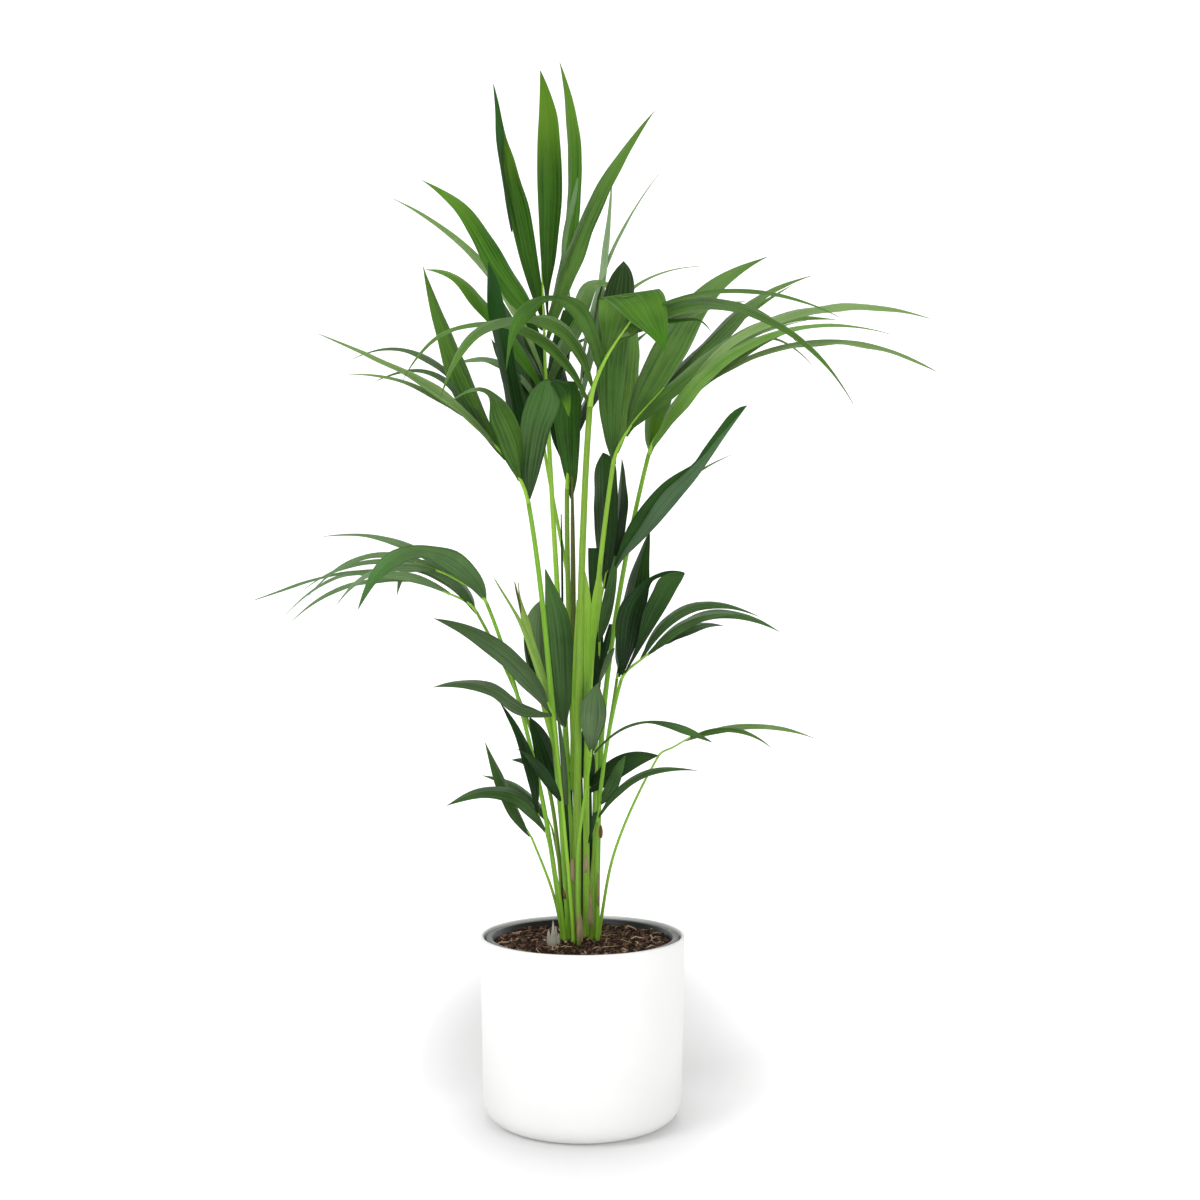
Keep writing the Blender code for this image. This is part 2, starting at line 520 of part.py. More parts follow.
def main():
    clear_scene()
    bpy.context.scene.unit_settings.scale_length = 1.0
    parts = collection("potted_kentia_palm")
    guides = collection("guides", hidden=True)
    planter(parts)
    nursery_pot(parts)
    soil(parts)
    stalk_finish = material("stalk_green", (0.25, 0.45, 0.08), 0.45)
    leaf_finish = material("leaf_green", (0.05, 0.16, 0.035), 0.4)
    for name, sizes in FRONDS.items():
        frond(name, sizes, parts, guides, stalk_finish, leaf_finish)
    for obj in parts.objects:
        if obj.type == "MESH":
            obj.data.shade_smooth()


main()
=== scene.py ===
"""Looks of the potted kentia palm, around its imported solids. Metres, +Z up.

The fronds grow from the same named sizes as the solids. Every leaflet is a
thin closed blade with a folded section and raised veins, every stalk a ribbed
tube, and the compost a bed of crumbs and fibres.
"""

import math
import random

import bmesh
import bpy
from mathutils import Matrix, Vector, noise


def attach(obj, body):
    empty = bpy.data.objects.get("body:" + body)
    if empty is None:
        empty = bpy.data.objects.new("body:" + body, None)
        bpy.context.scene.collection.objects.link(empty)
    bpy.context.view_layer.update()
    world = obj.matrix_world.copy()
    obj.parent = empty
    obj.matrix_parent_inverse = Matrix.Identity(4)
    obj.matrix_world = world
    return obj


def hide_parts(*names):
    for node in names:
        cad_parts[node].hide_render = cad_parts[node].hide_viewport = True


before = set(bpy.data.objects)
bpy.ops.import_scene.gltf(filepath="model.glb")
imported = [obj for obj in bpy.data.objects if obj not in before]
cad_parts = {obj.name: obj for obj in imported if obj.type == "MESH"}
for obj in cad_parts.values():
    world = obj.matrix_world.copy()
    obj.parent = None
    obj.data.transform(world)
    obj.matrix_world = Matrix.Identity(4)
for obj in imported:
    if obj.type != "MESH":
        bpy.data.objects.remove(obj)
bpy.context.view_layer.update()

CM = 0.01
SEED = 31

PLANTER_HEIGHT = 0.2260
PLANTER_RIM_RADIUS = 0.1250
PLANTER_FOOT_RADIUS = 0.1215
PLANTER_CORNER = 0.0300
PLANTER_WALL = 0.0038
PLANTER_FLOOR = 0.0050
NURSERY_RIM_Z = 0.2232
NURSERY_RIM_RADIUS = 0.1180
NURSERY_RIM_WIDTH = 0.0075
NURSERY_RIM_DROP = 0.0090
NURSERY_FOOT_RADIUS = 0.0950
NURSERY_WALL = 0.0016
SOIL_Z = 0.2185
SOIL_CROWNING = 0.0022

EYE_SIDE = 0.0214
EYE_AWAY = 2.05
EYE_HEIGHT = 0.635

PIXEL = 0.0012255  # what one pixel of the photo measures at the pot's axis
PHOTO_AXIS = 582.5  # the column of the pot's axis in the photo
PHOTO_GROUND = 1118.2  # the row of the ground at the pot's axis

STALK_TIP_SHARE = 0.65
RIB_END_RADIUS = 0.0009

# Each frond, in centimetres:
#   foot   place on the compost (right, back)
#   sway   how far the stalk's middle stands off the straight line (right, back)
#   neck   where the leaflets begin (right, up, back)
#   rib    from the neck to the rib's end (right, up, back)
#   arch   how far the rib's middle stands off the straight line (right, up)
#   thick  radius of the stalk's foot, millimetres
# and each leaflet:
#   at     place on the rib, 0 at the neck and 1 at its end
#   way    what it passes on its way, from its base (right, up)
#   tip    where it ends, from its base (right, up)
#   back   how far behind the pot's axis its tip lies
#   wide   full width
#   turn   degrees that the blade is turned from facing the front
FRONDS = {
    "top": dict(foot=(-0.7, 2.6), sway=(0.0, 0.3), neck=(-4.4, 88.0, 5.5), rib=(-0.6, 16.6, 2.2), thick=4.2, leaflets=[
        (0.04, [(-7.8, 10.9), (-12.2, 14.8)], (-14.8, 15.3), -4, 3.8, 60),
        (0.11, [(-2.7, 6.6), (-7.5, 14.2)], (-18.9, 22.9), 18, 1.9, -58),
        (0.52, [(-4.8, 7.2), (-10.7, 15.5)], (-15.0, 18.3), 3, 4.1, 42),
        (0.74, [(-1.6, 3.9), (-3.8, 14.1)], (-6.1, 26.5), 13, 3.9, 35),
        (0.78, [(1.1, 14.3)], (-0.2, 27.3), 8, 3.3, 15),
        (0.52, [(2.3, 9.1), (3.5, 20.2)], (1.9, 32.8), 15, 3.0, 48),
        (0.40, [(2.5, 9.0), (7.0, 19.3)], (13.5, 28.8), 3, 3.6, 40),
        (0.09, [(3.3, 8.1), (5.9, 12.8)], (9.2, 11.9), 24, 4.3, 52),
        (0.06, [(-2.5, 4.5)], (-5.3, 9.8), 12, 2.8, 52),
    ]),
    "left": dict(foot=(-1.6, -0.6), sway=(0.6, -0.2), neck=(-6.6, 75.3, -5.0), rib=(-8.1, 10.8, -3.5), arch=(1.4, 0.1), thick=4.2, leaflets=[
        (0.00, [(0.9, 7.7), (2.2, 14.2)], (5.2, 10.6), -17, 5.3, 30),
        (0.06, [(-1.7, 11.0), (-3.7, 22.1)], (-4.8, 28.9), -1, 3.5, -50),
        (0.24, [(-2.0, 7.4), (-4.5, 11.1)], (-9.3, 9.1), -19, 4.4, 44),
        (0.50, [(-4.7, 8.9)], (-10.3, 23.6), -3, 4.4, 50),
        (0.62, [(-8.4, 8.0), (-15.1, 11.1)], (-22.1, 14.0), -17, 2.7, 64),
        (0.74, [(-4.4, 7.8), (-11.1, 10.9)], (-16.4, 9.6), 4, 2.2, 62),
        (0.86, [(-5.3, 6.8)], (-12.3, 5.6), -4, 2.0, 62),
        (1.00, [(-6.7, 4.1)], (-13.9, 5.0), -12, 1.9, 68),
    ]),
    "front": dict(foot=(-0.7, -1.3), sway=(-0.5, -0.6), neck=(0.9, 87.2, -9.0), rib=(5.2, 10.8, -9.0), arch=(-0.9, 0.0), thick=5.3, leaflets=[
        (0.02, [(-8.0, 9.4), (-17.5, 9.0)], (-22.9, 3.0), -17, 2.8, 52),
        (0.20, [(-4.9, 8.1), (-11.9, 8.1)], (-18.7, -1.3), -25, 3.4, 52),
        (0.38, [(-1.7, 6.3), (-7.0, 8.8)], (-11.3, -0.1), -31, 4.1, 50),
        (0.38, [(2.2, 7.2), (4.8, 8.8)], (7.7, 2.2), -33, 6.6, 16),
        (0.72, [(8.6, 5.5), (18.6, 3.2)], (29.1, -7.4), -22, 4.5, 58),
        (0.80, [(8.1, 3.3)], (15.4, 4.2), -11, 2.8, 56),
        (0.92, [(6.0, 0.7), (9.1, 0.5)], (10.2, -0.8), -15, 1.5, 58),
        (1.00, [(9.7, 3.4), (17.2, 3.1)], (25.4, 0.1), -22, 1.4, 60),
        (0.76, [(8.9, 4.9), (18.4, 2.9)], (22.2, -0.7), -14, 2.2, 58),
    ]),
    "right_back": dict(foot=(0.4, 0.9), sway=(-1.3, -0.5), neck=(3.7, 79.9, 2.5), rib=(6.3, 9.6, 4.0), arch=(-1.0, 0.0), thick=4.2, leaflets=[
        (0.02, [(-0.5, 9.0)], (1.3, 24.9), 15, 4.6, 28),
        (0.16, [(0.8, 7.0)], (2.3, 18.0), 20, 4.0, 38),
        (0.38, [(3.9, 8.5), (10.7, 18.1)], (17.5, 21.9), 18, 5.9, 36),
        (0.62, [(8.4, 9.0), (14.6, 14.5)], (21.3, 17.3), 22, 4.2, 58),
        (0.48, [(7.4, 7.0), (17.7, 13.1)], (25.3, 13.3), 10, 3.9, 52),
        (0.95, [(6.7, 4.9)], (17.8, 8.7), 27, 2.4, 68),
        (0.70, [(8.4, 8.7)], (18.3, 15.4), 24, 2.6, 56),
    ]),
    "right": dict(foot=(1.6, 3.4), sway=(-2.1, 0.4), neck=(8.1, 81.3, 6.0), rib=(8.1, 9.7, -3.0), arch=(-0.6, 0.5), thick=4, leaflets=[
        (0.00, [(1.0, 6.5)], (5.9, 16.5), 26, 3.7, 38),
        (0.06, [(5.5, 8.3), (17.1, 14.7)], (29.2, 14.1), -10, 3.8, 56),
        (0.40, [(7.2, 9.5), (21.8, 13.9)], (31.9, 12.3), -3, 2.7, 60),
        (0.62, [(7.4, 5.4), (19.9, 7.5)], (30.8, 3.7), -4, 3.0, 66),
        (0.80, [(9.1, 6.3)], (13.9, 2.9), 4, 1.6, 62),
        (0.92, [(4.5, 3.6)], (10.0, 6.1), 4, 2.0, 62),
    ]),
    "back_mid": dict(foot=(-0.1, 5.5), sway=(-0.3, 0.5), neck=(-1.9, 77.0, 11.5), rib=(1.8, 13.7, 8.0), thick=4.6, leaflets=[
        (0.00, [(0.3, 6.5)], (1.6, 16.5), 27, 4.8, 38),
        (0.18, [(-0.9, 7.0)], (-1.6, 17.0), 22, 4.4, 40),
        (0.46, [(4.0, 8.5)], (9.3, 13.2), 36, 3.6, 55),
        (0.70, [(3.0, 17.0)], (4.3, 29.0), 31, 2.4, 58),
        (0.88, [(2.9, 14.8)], (9.8, 26.8), 31, 1.4, 60),
        (1.00, [(6.9, 11.6)], (15.0, 13.7), 33, 1.9, 66),
    ]),
    "back_left": dict(foot=(0.8, 6.2), sway=(2.3, 0.6), neck=(-4.7, 82.0, 13.0), rib=(-0.6, 7.6, 9.0), thick=3.2, leaflets=[
        (0.00, [(-3.1, 7.6)], (-6.5, 13.5), 27, 4.4, 52),
        (0.30, [(-2.4, 8.7)], (-5.6, 17.0), 42, 4.2, 48),
        (0.50, [(2.1, 7.9)], (3.4, 15.5), 48, 4.0, 48),
        (0.70, [(-5.0, 5.4)], (-12.0, 4.5), 38, 3.4, 62),
        (0.90, [(2.4, 4.8)], (6.5, 7.0), 44, 3.4, 58),
        (1.00, [(-1.1, 4.8)], (-2.5, 9.0), 50, 3.2, 58),
    ]),
    "left_mid_upper": dict(foot=(-2.4, 0.1), sway=(1.4, -0.4), neck=(-11.7, 63.0, -6.5), rib=(-8.9, 5.1, -6.5), arch=(0.5, 0.6), thick=3.2, leaflets=[
        (0.00, [(-4.0, 4.9), (-9.4, 5.6)], (-15.8, -1.0), -23, 4.3, 46),
        (0.40, [(-7.4, 4.9)], (-17.0, 5.6), -5, 2.4, 64),
        (0.60, [(-8.9, 2.6)], (-17.0, -2.6), -10, 2.8, 66),
        (0.74, [(-7.4, 0.0)], (-12.1, -4.2), -27, 2.7, 62),
        (0.90, [(-6.6, 0.6)], (-14.6, -3.0), -19, 2.2, 68),
    ]),
    "left_mid_lower": dict(foot=(-2.1, 2.4), sway=(3.0, 0.6), neck=(-12.9, 61.9, 7.0), rib=(-8.9, 4.2, 5.0), arch=(0.5, 0.5), thick=2.9, leaflets=[
        (0.00, [(-4.4, 5.2), (-8.3, 5.9)], (-9.8, 2.2), 16, 3.4, 54),
        (0.50, [(-9.2, 3.6)], (-22.7, -0.2), 11, 3.0, 64),
        (0.70, [(-8.6, 1.8)], (-17.6, -3.6), 22, 2.4, 66),
        (0.92, [(-7.4, -0.4)], (-14.6, -5.0), 15, 2.0, 68),
    ]),
    "left_pair": dict(foot=(-1.1, -2.0), sway=(0.2, -0.6), neck=(-3.6, 49.3, -5.0), rib=(-0.7, 1.7, -0.8), thick=2.4, leaflets=[
        (0.10, [(-3.1, 0.7), (-7.7, 3.3)], (-14.7, 3.3), -17, 2.7, 54),
        (0.08, [(-2.1, 3.6)], (-14.6, 11.8), -10, 3.5, 42),
    ]),
    "centre": dict(foot=(-1.0, 0.6), sway=(0.2, 0.1), neck=(-2.2, 47.7, 0.6), rib=(-0.2, 2.1, 0.0), thick=2.8, leaflets=[
        (0.20, [(-3.0, 8.0)], (-2.8, 15.4), 2.4, 3.6, 34),
        (0.60, [(-0.3, 9.5)], (-2.2, 18.3), -0.9, 3.9, 32),
    ]),
    "spear": dict(foot=(-1.8, 1.5), sway=(0.2, -0.3), neck=(-3.7, 47.0, -1.6), rib=(-0.3, 2.4, -0.3), thick=2.6, leaflets=[
        (0.30, [(-2.0, 7.4)], (-7.0, 18.3), -3, 1.5, 24),
        (0.90, [(-1.6, 7.6)], (-4.0, 16.6), -4, 2.2, 38),
    ]),
    "big_right": dict(foot=(1.2, 1.5), sway=(-0.1, 0.4), neck=(2.2, 63.2, 5.0), rib=(0.7, 3.7, 0.6), thick=3.2, leaflets=[
        (0.30, [(6.3, 10.2), (13.2, 17.4)], (17.7, 23.0), -5, 4.2, 46),
        (0.45, [(0.2, 8.1)], (-0.0, 16.7), 12, 4.2, 44),
        (0.75, [(1.8, 7.9)], (2.1, 14.9), 16, 3.1, 54),
        (0.95, [(4.6, 6.2), (10.1, 11.7)], (15.5, 14.6), 16, 1.3, 55),
    ]),
    "right_mid": dict(foot=(1.8, -0.5), sway=(-1.3, -0.2), neck=(4.7, 53.6, -2.0), rib=(5.8, 4.8, -4.0), arch=(-0.3, 0.3), thick=3.2, leaflets=[
        (0.00, [(1.2, 8.2), (4.2, 12.7)], (7.1, 13.5), -8, 3.9, 36),
        (0.20, [(2.9, 6.6)], (5.6, 12.3), -15, 3.8, 34),
        (0.45, [(5.6, 6.4)], (14.6, 5.4), 2, 3.1, 56),
        (0.60, [(5.8, 4.4)], (11.8, 4.9), -15, 2.4, 62),
        (0.70, [(7.0, 4.6)], (15.6, 2.4), -6, 3.3, 60),
        (0.94, [(3.8, 2.2)], (7.1, 2.2), 1, 2.4, 64),
    ]),
    "right_mid_back": dict(foot=(1.8, 4.7), sway=(-1.0, 0.3), neck=(4.2, 53.8, 7.0), rib=(0.4, 2.8, 1.5), thick=2.9, leaflets=[
        (0.10, [(1.6, 8.4)], (4.0, 18.0), 14, 4.6, 46),
        (0.90, [(2.8, 4.2)], (6.0, 8.0), 22, 3.2, 56),
    ]),
    "low_dark": dict(foot=(-0.5, 4.0), sway=(-0.2, 0.1), neck=(-2.6, 38.7, 3.4), rib=(-0.6, 2.2, 0.2), thick=2.1, leaflets=[
        (0.15, [(-2.8, 3.9)], (-6.0, 6.4), 0, 2.8, 52),
        (0.55, [(-1.1, 4.2)], (-3.6, 9.3), 3, 4.0, 44),
        (0.95, [(-3.3, 2.9)], (-5.6, 3.1), 4.4, 2.3, 56),
    ]),
    "low_left_a": dict(foot=(-2.2, -1.3), sway=(0.4, -0.2), neck=(-4.4, 34.8, -4.0), rib=(-1.1, 2.6, -0.8), thick=2.2, leaflets=[
        (0.10, [(-3.1, 4.1)], (-12.2, 3.2), -12, 2.8, 56),
        (0.95, [(-1.2, 7.0)], (-4.7, 13.7), -7, 2.3, 54),
    ]),
    "low_left_b": dict(foot=(-1.8, 4.0), sway=(0.2, 0.2), neck=(-3.7, 35.4, 5.2), rib=(-0.7, 1.7, 0.4), thick=2, leaflets=[
        (0.40, [(-3.2, 3.9)], (-8.3, 5.9), 9, 2.4, 60),
    ]),
    "low_left_c": dict(foot=(-2.6, 0.8), sway=(0.6, 0.0), neck=(-6.2, 34.3, -1.5), rib=(-0.5, 0.9, -0.2), thick=2.1, leaflets=[
        (0.30, [(-2.6, 4.7)], (-5.6, 11.5), -3, 2.7, 58),
    ]),
    "low_centre": dict(foot=(-0.4, -2.5), sway=(-0.8, -0.4), neck=(1.0, 44.3, -6.4), rib=(0.1, 0.9, -0.4), thick=2.5, leaflets=[
        (0.10, [(0.4, 5.2)], (0.9, 9.0), -8, 4.0, 26),
        (0.90, [(3.1, 2.4), (7.2, 3.4)], (14.8, 1.2), -15, 2.6, 58),
    ]),
    "low_right": dict(foot=(1.1, -0.7), sway=(-0.4, -0.4), neck=(1.8, 36.3, -2.4), rib=(0.4, 2.3, -0.6), thick=2.2, leaflets=[
        (0.20, [(3.8, 4.5)], (12.2, 5.8), -11, 1.5, 58),
        (0.95, [(1.3, 2.6)], (3.1, 6.0), -4, 2.4, 46),
    ]),
    "low_thin": dict(foot=(2.1, 1.6), sway=(-1.6, -0.2), neck=(9.3, 44.4, -1.5), rib=(3.9, 2.3, -1.0), thick=2.1, leaflets=[
        (0.80, [(7.2, 1.9)], (16.0, 0.3), -1, 1.5, 62),
        (1.00, [(5.2, 1.0)], (9.9, -1.3), -10, 1.5, 64),
    ]),
    "low_mid": dict(foot=(0.5, 3.2), sway=(0.0, -0.1), neck=(0.2, 39.0, 2.0), rib=(0.8, 1.7, 0.2), thick=2.1, leaflets=[
        (0.50, [(3.7, 3.4)], (8.8, 4.6), 2.3, 3.0, 32),
        (0.95, [(-0.4, 3.9)], (-0.9, 7.4), 3.4, 2.4, 24),
    ]),
}


def set_back(right, up, back):
    """The place that a point of the front elevation takes when it is set back."""
    share = (EYE_AWAY + back) / EYE_AWAY
    return Vector((EYE_SIDE + (right - EYE_SIDE) * share, back, EYE_HEIGHT + (up - EYE_HEIGHT) * share))


def seen(point):
    """(right, up, back) on the front elevation of a point in space."""
    share = EYE_AWAY / (EYE_AWAY + point.y)
    return Vector((EYE_SIDE + (point.x - EYE_SIDE) * share, EYE_HEIGHT + (point.z - EYE_HEIGHT) * share, point.y))


def smooth(points, per_span):
    """A smooth line through points, closer where they are closer."""
    points = [points[0] * 2 - points[1]] + list(points) + [points[-1] * 2 - points[-2]]
    line = []
    for i in range(1, len(points) - 2):
        p0, p1, p2, p3 = points[i - 1:i + 3]
        d0, d1, d2 = (p1 - p0).length, (p2 - p1).length, (p3 - p2).length
        m1 = (p2 - p0) * (d1 / (d0 + d1))
        m2 = (p3 - p1) * (d1 / (d1 + d2))
        for k in range(per_span):
            u = k / per_span
            line.append(
                p1 * (2 * u**3 - 3 * u**2 + 1) + m1 * (u**3 - 2 * u**2 + u)
                + p2 * (3 * u**2 - 2 * u**3) + m2 * (u**3 - u**2)
            )
    return line + [points[-2]]


def spine_fine(sizes):
    """As the solids' middle lines, with more points: the stalk's, and the rib's."""
    foot = Vector((sizes["foot"][0] * CM, sizes["foot"][1] * CM, SOIL_Z - 0.001))
    neck = set_back(*(v * CM for v in sizes["neck"]))
    reach = [a + b for a, b in zip(sizes["neck"], sizes["rib"])]
    end = set_back(*(v * CM for v in reach))
    arch = sizes.get("arch", (0.0, 0.0))
    crest = [a + b / 2 for a, b in zip(sizes["neck"], sizes["rib"])]
    crest = set_back((crest[0] + arch[0]) * CM, (crest[1] + arch[1]) * CM, crest[2] * CM)
    middle = foot.lerp(neck, 0.5) + Vector((sizes["sway"][0], sizes["sway"][1], 0)) * CM
    above = foot + Vector((0, 0, 0.012))
    line = smooth([foot, above, middle, neck, crest, end], 12)
    return [line[0], line[6]] + line[12:37], line[36:]


def along(line, share):
    """The point at this share of a line's points."""
    place = share * (len(line) - 1)
    i = min(int(place), len(line) - 2)
    return line[i].lerp(line[i + 1], place - i)


def passing(points, per_span):
    """An even curve through points, bent at its ends as much as beside them."""
    steps = [(b - a).length for a, b in zip(points, points[1:])]
    slopes = [(b - a) / step for a, b, step in zip(points, points[1:], steps)]
    ways = [
        (slopes[i] * steps[i - 1] + slopes[i - 1] * steps[i]) / (steps[i - 1] + steps[i])
        for i in range(1, len(slopes))
    ]
    ways = [slopes[0] * 2 - ways[0]] + ways + [slopes[-1] * 2 - ways[-1]]
    line = []
    for i, step in enumerate(steps):
        for k in range(per_span):
            u = k / per_span
            line.append(
                points[i] * (2 * u**3 - 3 * u**2 + 1) + ways[i] * step * (u**3 - 2 * u**2 + u)
                + points[i + 1] * (3 * u**2 - 2 * u**3) + ways[i + 1] * step * (u**3 - u**2)
            )
    return line + [points[-1]]


def evenly(line, count):
    """Points at even distances along a line."""
    reached = [0.0]
    for a, b in zip(line, line[1:]):
        reached.append(reached[-1] + (b - a).length)
    places, i = [], 0
    for k in range(count + 1):
        goal = reached[-1] * k / count
        while i < len(line) - 2 and reached[i + 1] < goal:
            i += 1
        places.append(line[i].lerp(line[i + 1], (goal - reached[i]) / (reached[i + 1] - reached[i])))
    return places


def leaflet_line(rib, leaflet, count):
    """Stations along a leaflet: its middle line, and at each the way along it and across it."""
    at, way, tip, back, _, turn = leaflet
    base = seen(along(rib, at))
    drawn = [Vector((0, 0, 0))] + [Vector((x * CM, y * CM, 0)) for x, y in list(way) + [tip]]
    drawn = evenly(passing(drawn, 12), count)
    depth = back * CM - base.z
    places = []
    for i, place in enumerate(drawn):
        u = i / count
        place.z = depth * (0.9 * u + 0.1 * u * u)
        places.append(set_back(*(base + place)))
    side = -1 if tip[0] + way[-1][0] < 0 else 1
    stations = []
    for i, place in enumerate(places):
        along_it = (places[min(i + 1, count)] - places[max(i - 1, 0)]).normalized()
        facing = along_it.cross(Vector((0, 1, 0))).normalized() * -side
        edge = facing.cross(along_it).normalized() * side
        swing = math.radians(turn)
        across = facing * math.cos(swing) + edge * math.sin(swing)
        stations.append((place, along_it, across.normalized()))
    return stations


# ---------------------------------------------------------------- materials

def socket(node, *names):
    for name in names:
        if name in node.inputs:
            return node.inputs[name]
    raise KeyError(names)


class Finish:
    """A Principled material with a few helpers for its procedural nodes."""

    def __init__(self, name, roughness=0.5, specular=0.5):
        self.made = bpy.data.materials.new(name)
        self.made.use_nodes = True
        self.tree = self.made.node_tree
        self.shader = self.tree.nodes["Principled BSDF"]
        self.shader.inputs["Roughness"].default_value = roughness
        self.shader.inputs["Specular IOR Level"].default_value = specular

    def node(self, kind, **values):
        made = self.tree.nodes.new(kind)
        for key, value in values.items():
            if hasattr(made, key):
                setattr(made, key, value)
            else:
                made.inputs[key.replace("_", " ")].default_value = value
        return made

    def link(self, a, b):
        self.tree.links.new(a, b)

    def ramp(self, source, stops):
        made = self.tree.nodes.new("ShaderNodeValToRGB")
        band = made.color_ramp
        while len(band.elements) < len(stops):
            band.elements.new(0.5)
        for element, (place, colour) in zip(band.elements, stops):
            element.position = place
            element.color = (*colour, 1.0)
        self.link(source, made.inputs["Fac"])
        return made.outputs["Color"]

    def mix(self, fac, a, b, blend="MIX"):
        made = self.tree.nodes.new("ShaderNodeMix")
        made.data_type = "RGBA"
        made.blend_type = blend
        for value, place in ((fac, 0), (a, 6), (b, 7)):
            if isinstance(value, (int, float)):
                made.inputs[place].default_value = value
            elif isinstance(value, tuple):
                made.inputs[place].default_value = (*value, 1.0)
            else:
                self.link(value, made.inputs[place])
        return made.outputs[2]

    def math(self, how, a, b=0.0, c=0.0):
        made = self.tree.nodes.new("ShaderNodeMath")
        made.operation = how
        for value, place in ((a, 0), (b, 1), (c, 2)):
            if isinstance(value, (int, float)):
                made.inputs[place].default_value = value
            else:
                self.link(value, made.inputs[place])
        return made.outputs[0]

    def bump(self, height, distance, strength=1.0):
        made = self.tree.nodes.new("ShaderNodeBump")
        made.inputs["Distance"].default_value = distance
        made.inputs["Strength"].default_value = strength
        self.link(height, made.inputs["Height"])
        self.link(made.outputs["Normal"], self.shader.inputs["Normal"])
        return made

    def colour(self, source):
        self.link(source, self.shader.inputs["Base Color"])

    def rough(self, source):
        self.link(source, self.shader.inputs["Roughness"])


def srgb(r, g, b):
    def lin(v):
        v = v / 255
        return v / 12.92 if v <= 0.04045 else ((v + 0.055) / 1.055) ** 2.4
    return lin(r), lin(g), lin(b)


def leaf_finish(name, deep, light, vein, tip, roughness, specular, shade=0.34):
    """Leaf green with parallel veins along the blade, painted shade at its base and painted light towards its point,
    read from its UV map.
    """
    f = Finish(name, roughness, specular)
    place = f.node("ShaderNodeUVMap", uv_map="blade")
    parts = f.node("ShaderNodeSeparateXYZ")
    f.link(place.outputs["UV"], parts.inputs[0])
    across, along = parts.outputs[0], parts.outputs[1]
    fine = f.math("SINE", f.math("MULTIPLY", across, 2 * math.pi * 31))
    fine = f.math("MULTIPLY_ADD", fine, 0.5, 0.5)
    coarse = f.math("SINE", f.math("MULTIPLY_ADD", across, 2 * math.pi * 7, 0.7))
    coarse = f.math("POWER", f.math("MULTIPLY_ADD", coarse, 0.5, 0.5), 6.0)
    where = f.node("ShaderNodeTexCoord")
    cloud = f.node("ShaderNodeTexNoise", Scale=16.0, Detail=3.0, Roughness=0.55)
    f.link(where.outputs["Object"], cloud.inputs["Vector"])
    # long streaks of slightly different green that run with the veins
    stretch = f.node("ShaderNodeMapping")
    stretch.inputs["Scale"].default_value = (14.0, 1.6, 1.0)
    f.link(place.outputs["UV"], stretch.inputs["Vector"])
    moved = f.node("ShaderNodeVectorMath", operation="ADD")
    slow = f.node("ShaderNodeVectorMath", operation="SCALE")
    slow.inputs["Scale"].default_value = 4.0
    f.link(where.outputs["Object"], slow.inputs[0])
    f.link(stretch.outputs["Vector"], moved.inputs[0])
    f.link(slow.outputs["Vector"], moved.inputs[1])
    streak = f.node("ShaderNodeTexNoise", Scale=1.0, Detail=3.0, Roughness=0.6)
    f.link(moved.outputs["Vector"], streak.inputs["Vector"])
    blend = f.math("ADD", f.math("MULTIPLY", cloud.outputs["Fac"], 0.4), f.math("MULTIPLY", streak.outputs["Fac"], 0.6))
    base = f.ramp(blend, [(0.42, deep), (0.57, light)])
    # painted light: the last part towards the point eases to the tip colour, mostly lighter, where light comes through
    # the tip
    end = f.node("ShaderNodeMapRange", interpolation_type="SMOOTHSTEP")
    end.inputs["From Min"].default_value = 0.5
    end.inputs["From Max"].default_value = 0.86
    end.inputs["To Max"].default_value = 0.85
    f.link(along, end.inputs["Value"])
    base = f.mix(end.outputs[0], base, tip)
    base = f.mix(f.math("MULTIPLY", fine, 0.13), base, vein)
    base = f.mix(f.math("MULTIPLY", coarse, 0.24), base, vein)
    # a pale midrib, and painted shade: darker green towards the blade's base, where the leaflets shade one another
    off = f.math("ABSOLUTE", f.math("SUBTRACT", across, 0.5))
    mid = f.math("SUBTRACT", 1.0, f.math("MINIMUM", f.math("MULTIPLY", off, 1 / 0.018), 1.0))
    base = f.mix(f.math("MULTIPLY", mid, 0.45), base, vein)
    # painted shade: near the base the colour is mixed towards a much darker deep green
    foot = f.node("ShaderNodeMapRange", interpolation_type="SMOOTHSTEP")
    foot.inputs["From Min"].default_value = 0.0
    foot.inputs["From Max"].default_value = 0.34
    foot.inputs["To Min"].default_value = shade
    foot.inputs["To Max"].default_value = 0.0
    f.link(along, foot.inputs["Value"])
    base = f.mix(foot.outputs[0], base, tuple(c * 0.35 for c in deep))
    f.colour(base)
    f.rough(f.math("MULTIPLY_ADD", cloud.outputs["Fac"], 0.16, roughness - 0.08))
    height = f.math("ADD", f.math("MULTIPLY", fine, 0.35), coarse)
    f.bump(height, 0.00026, 0.8)
    return f.made


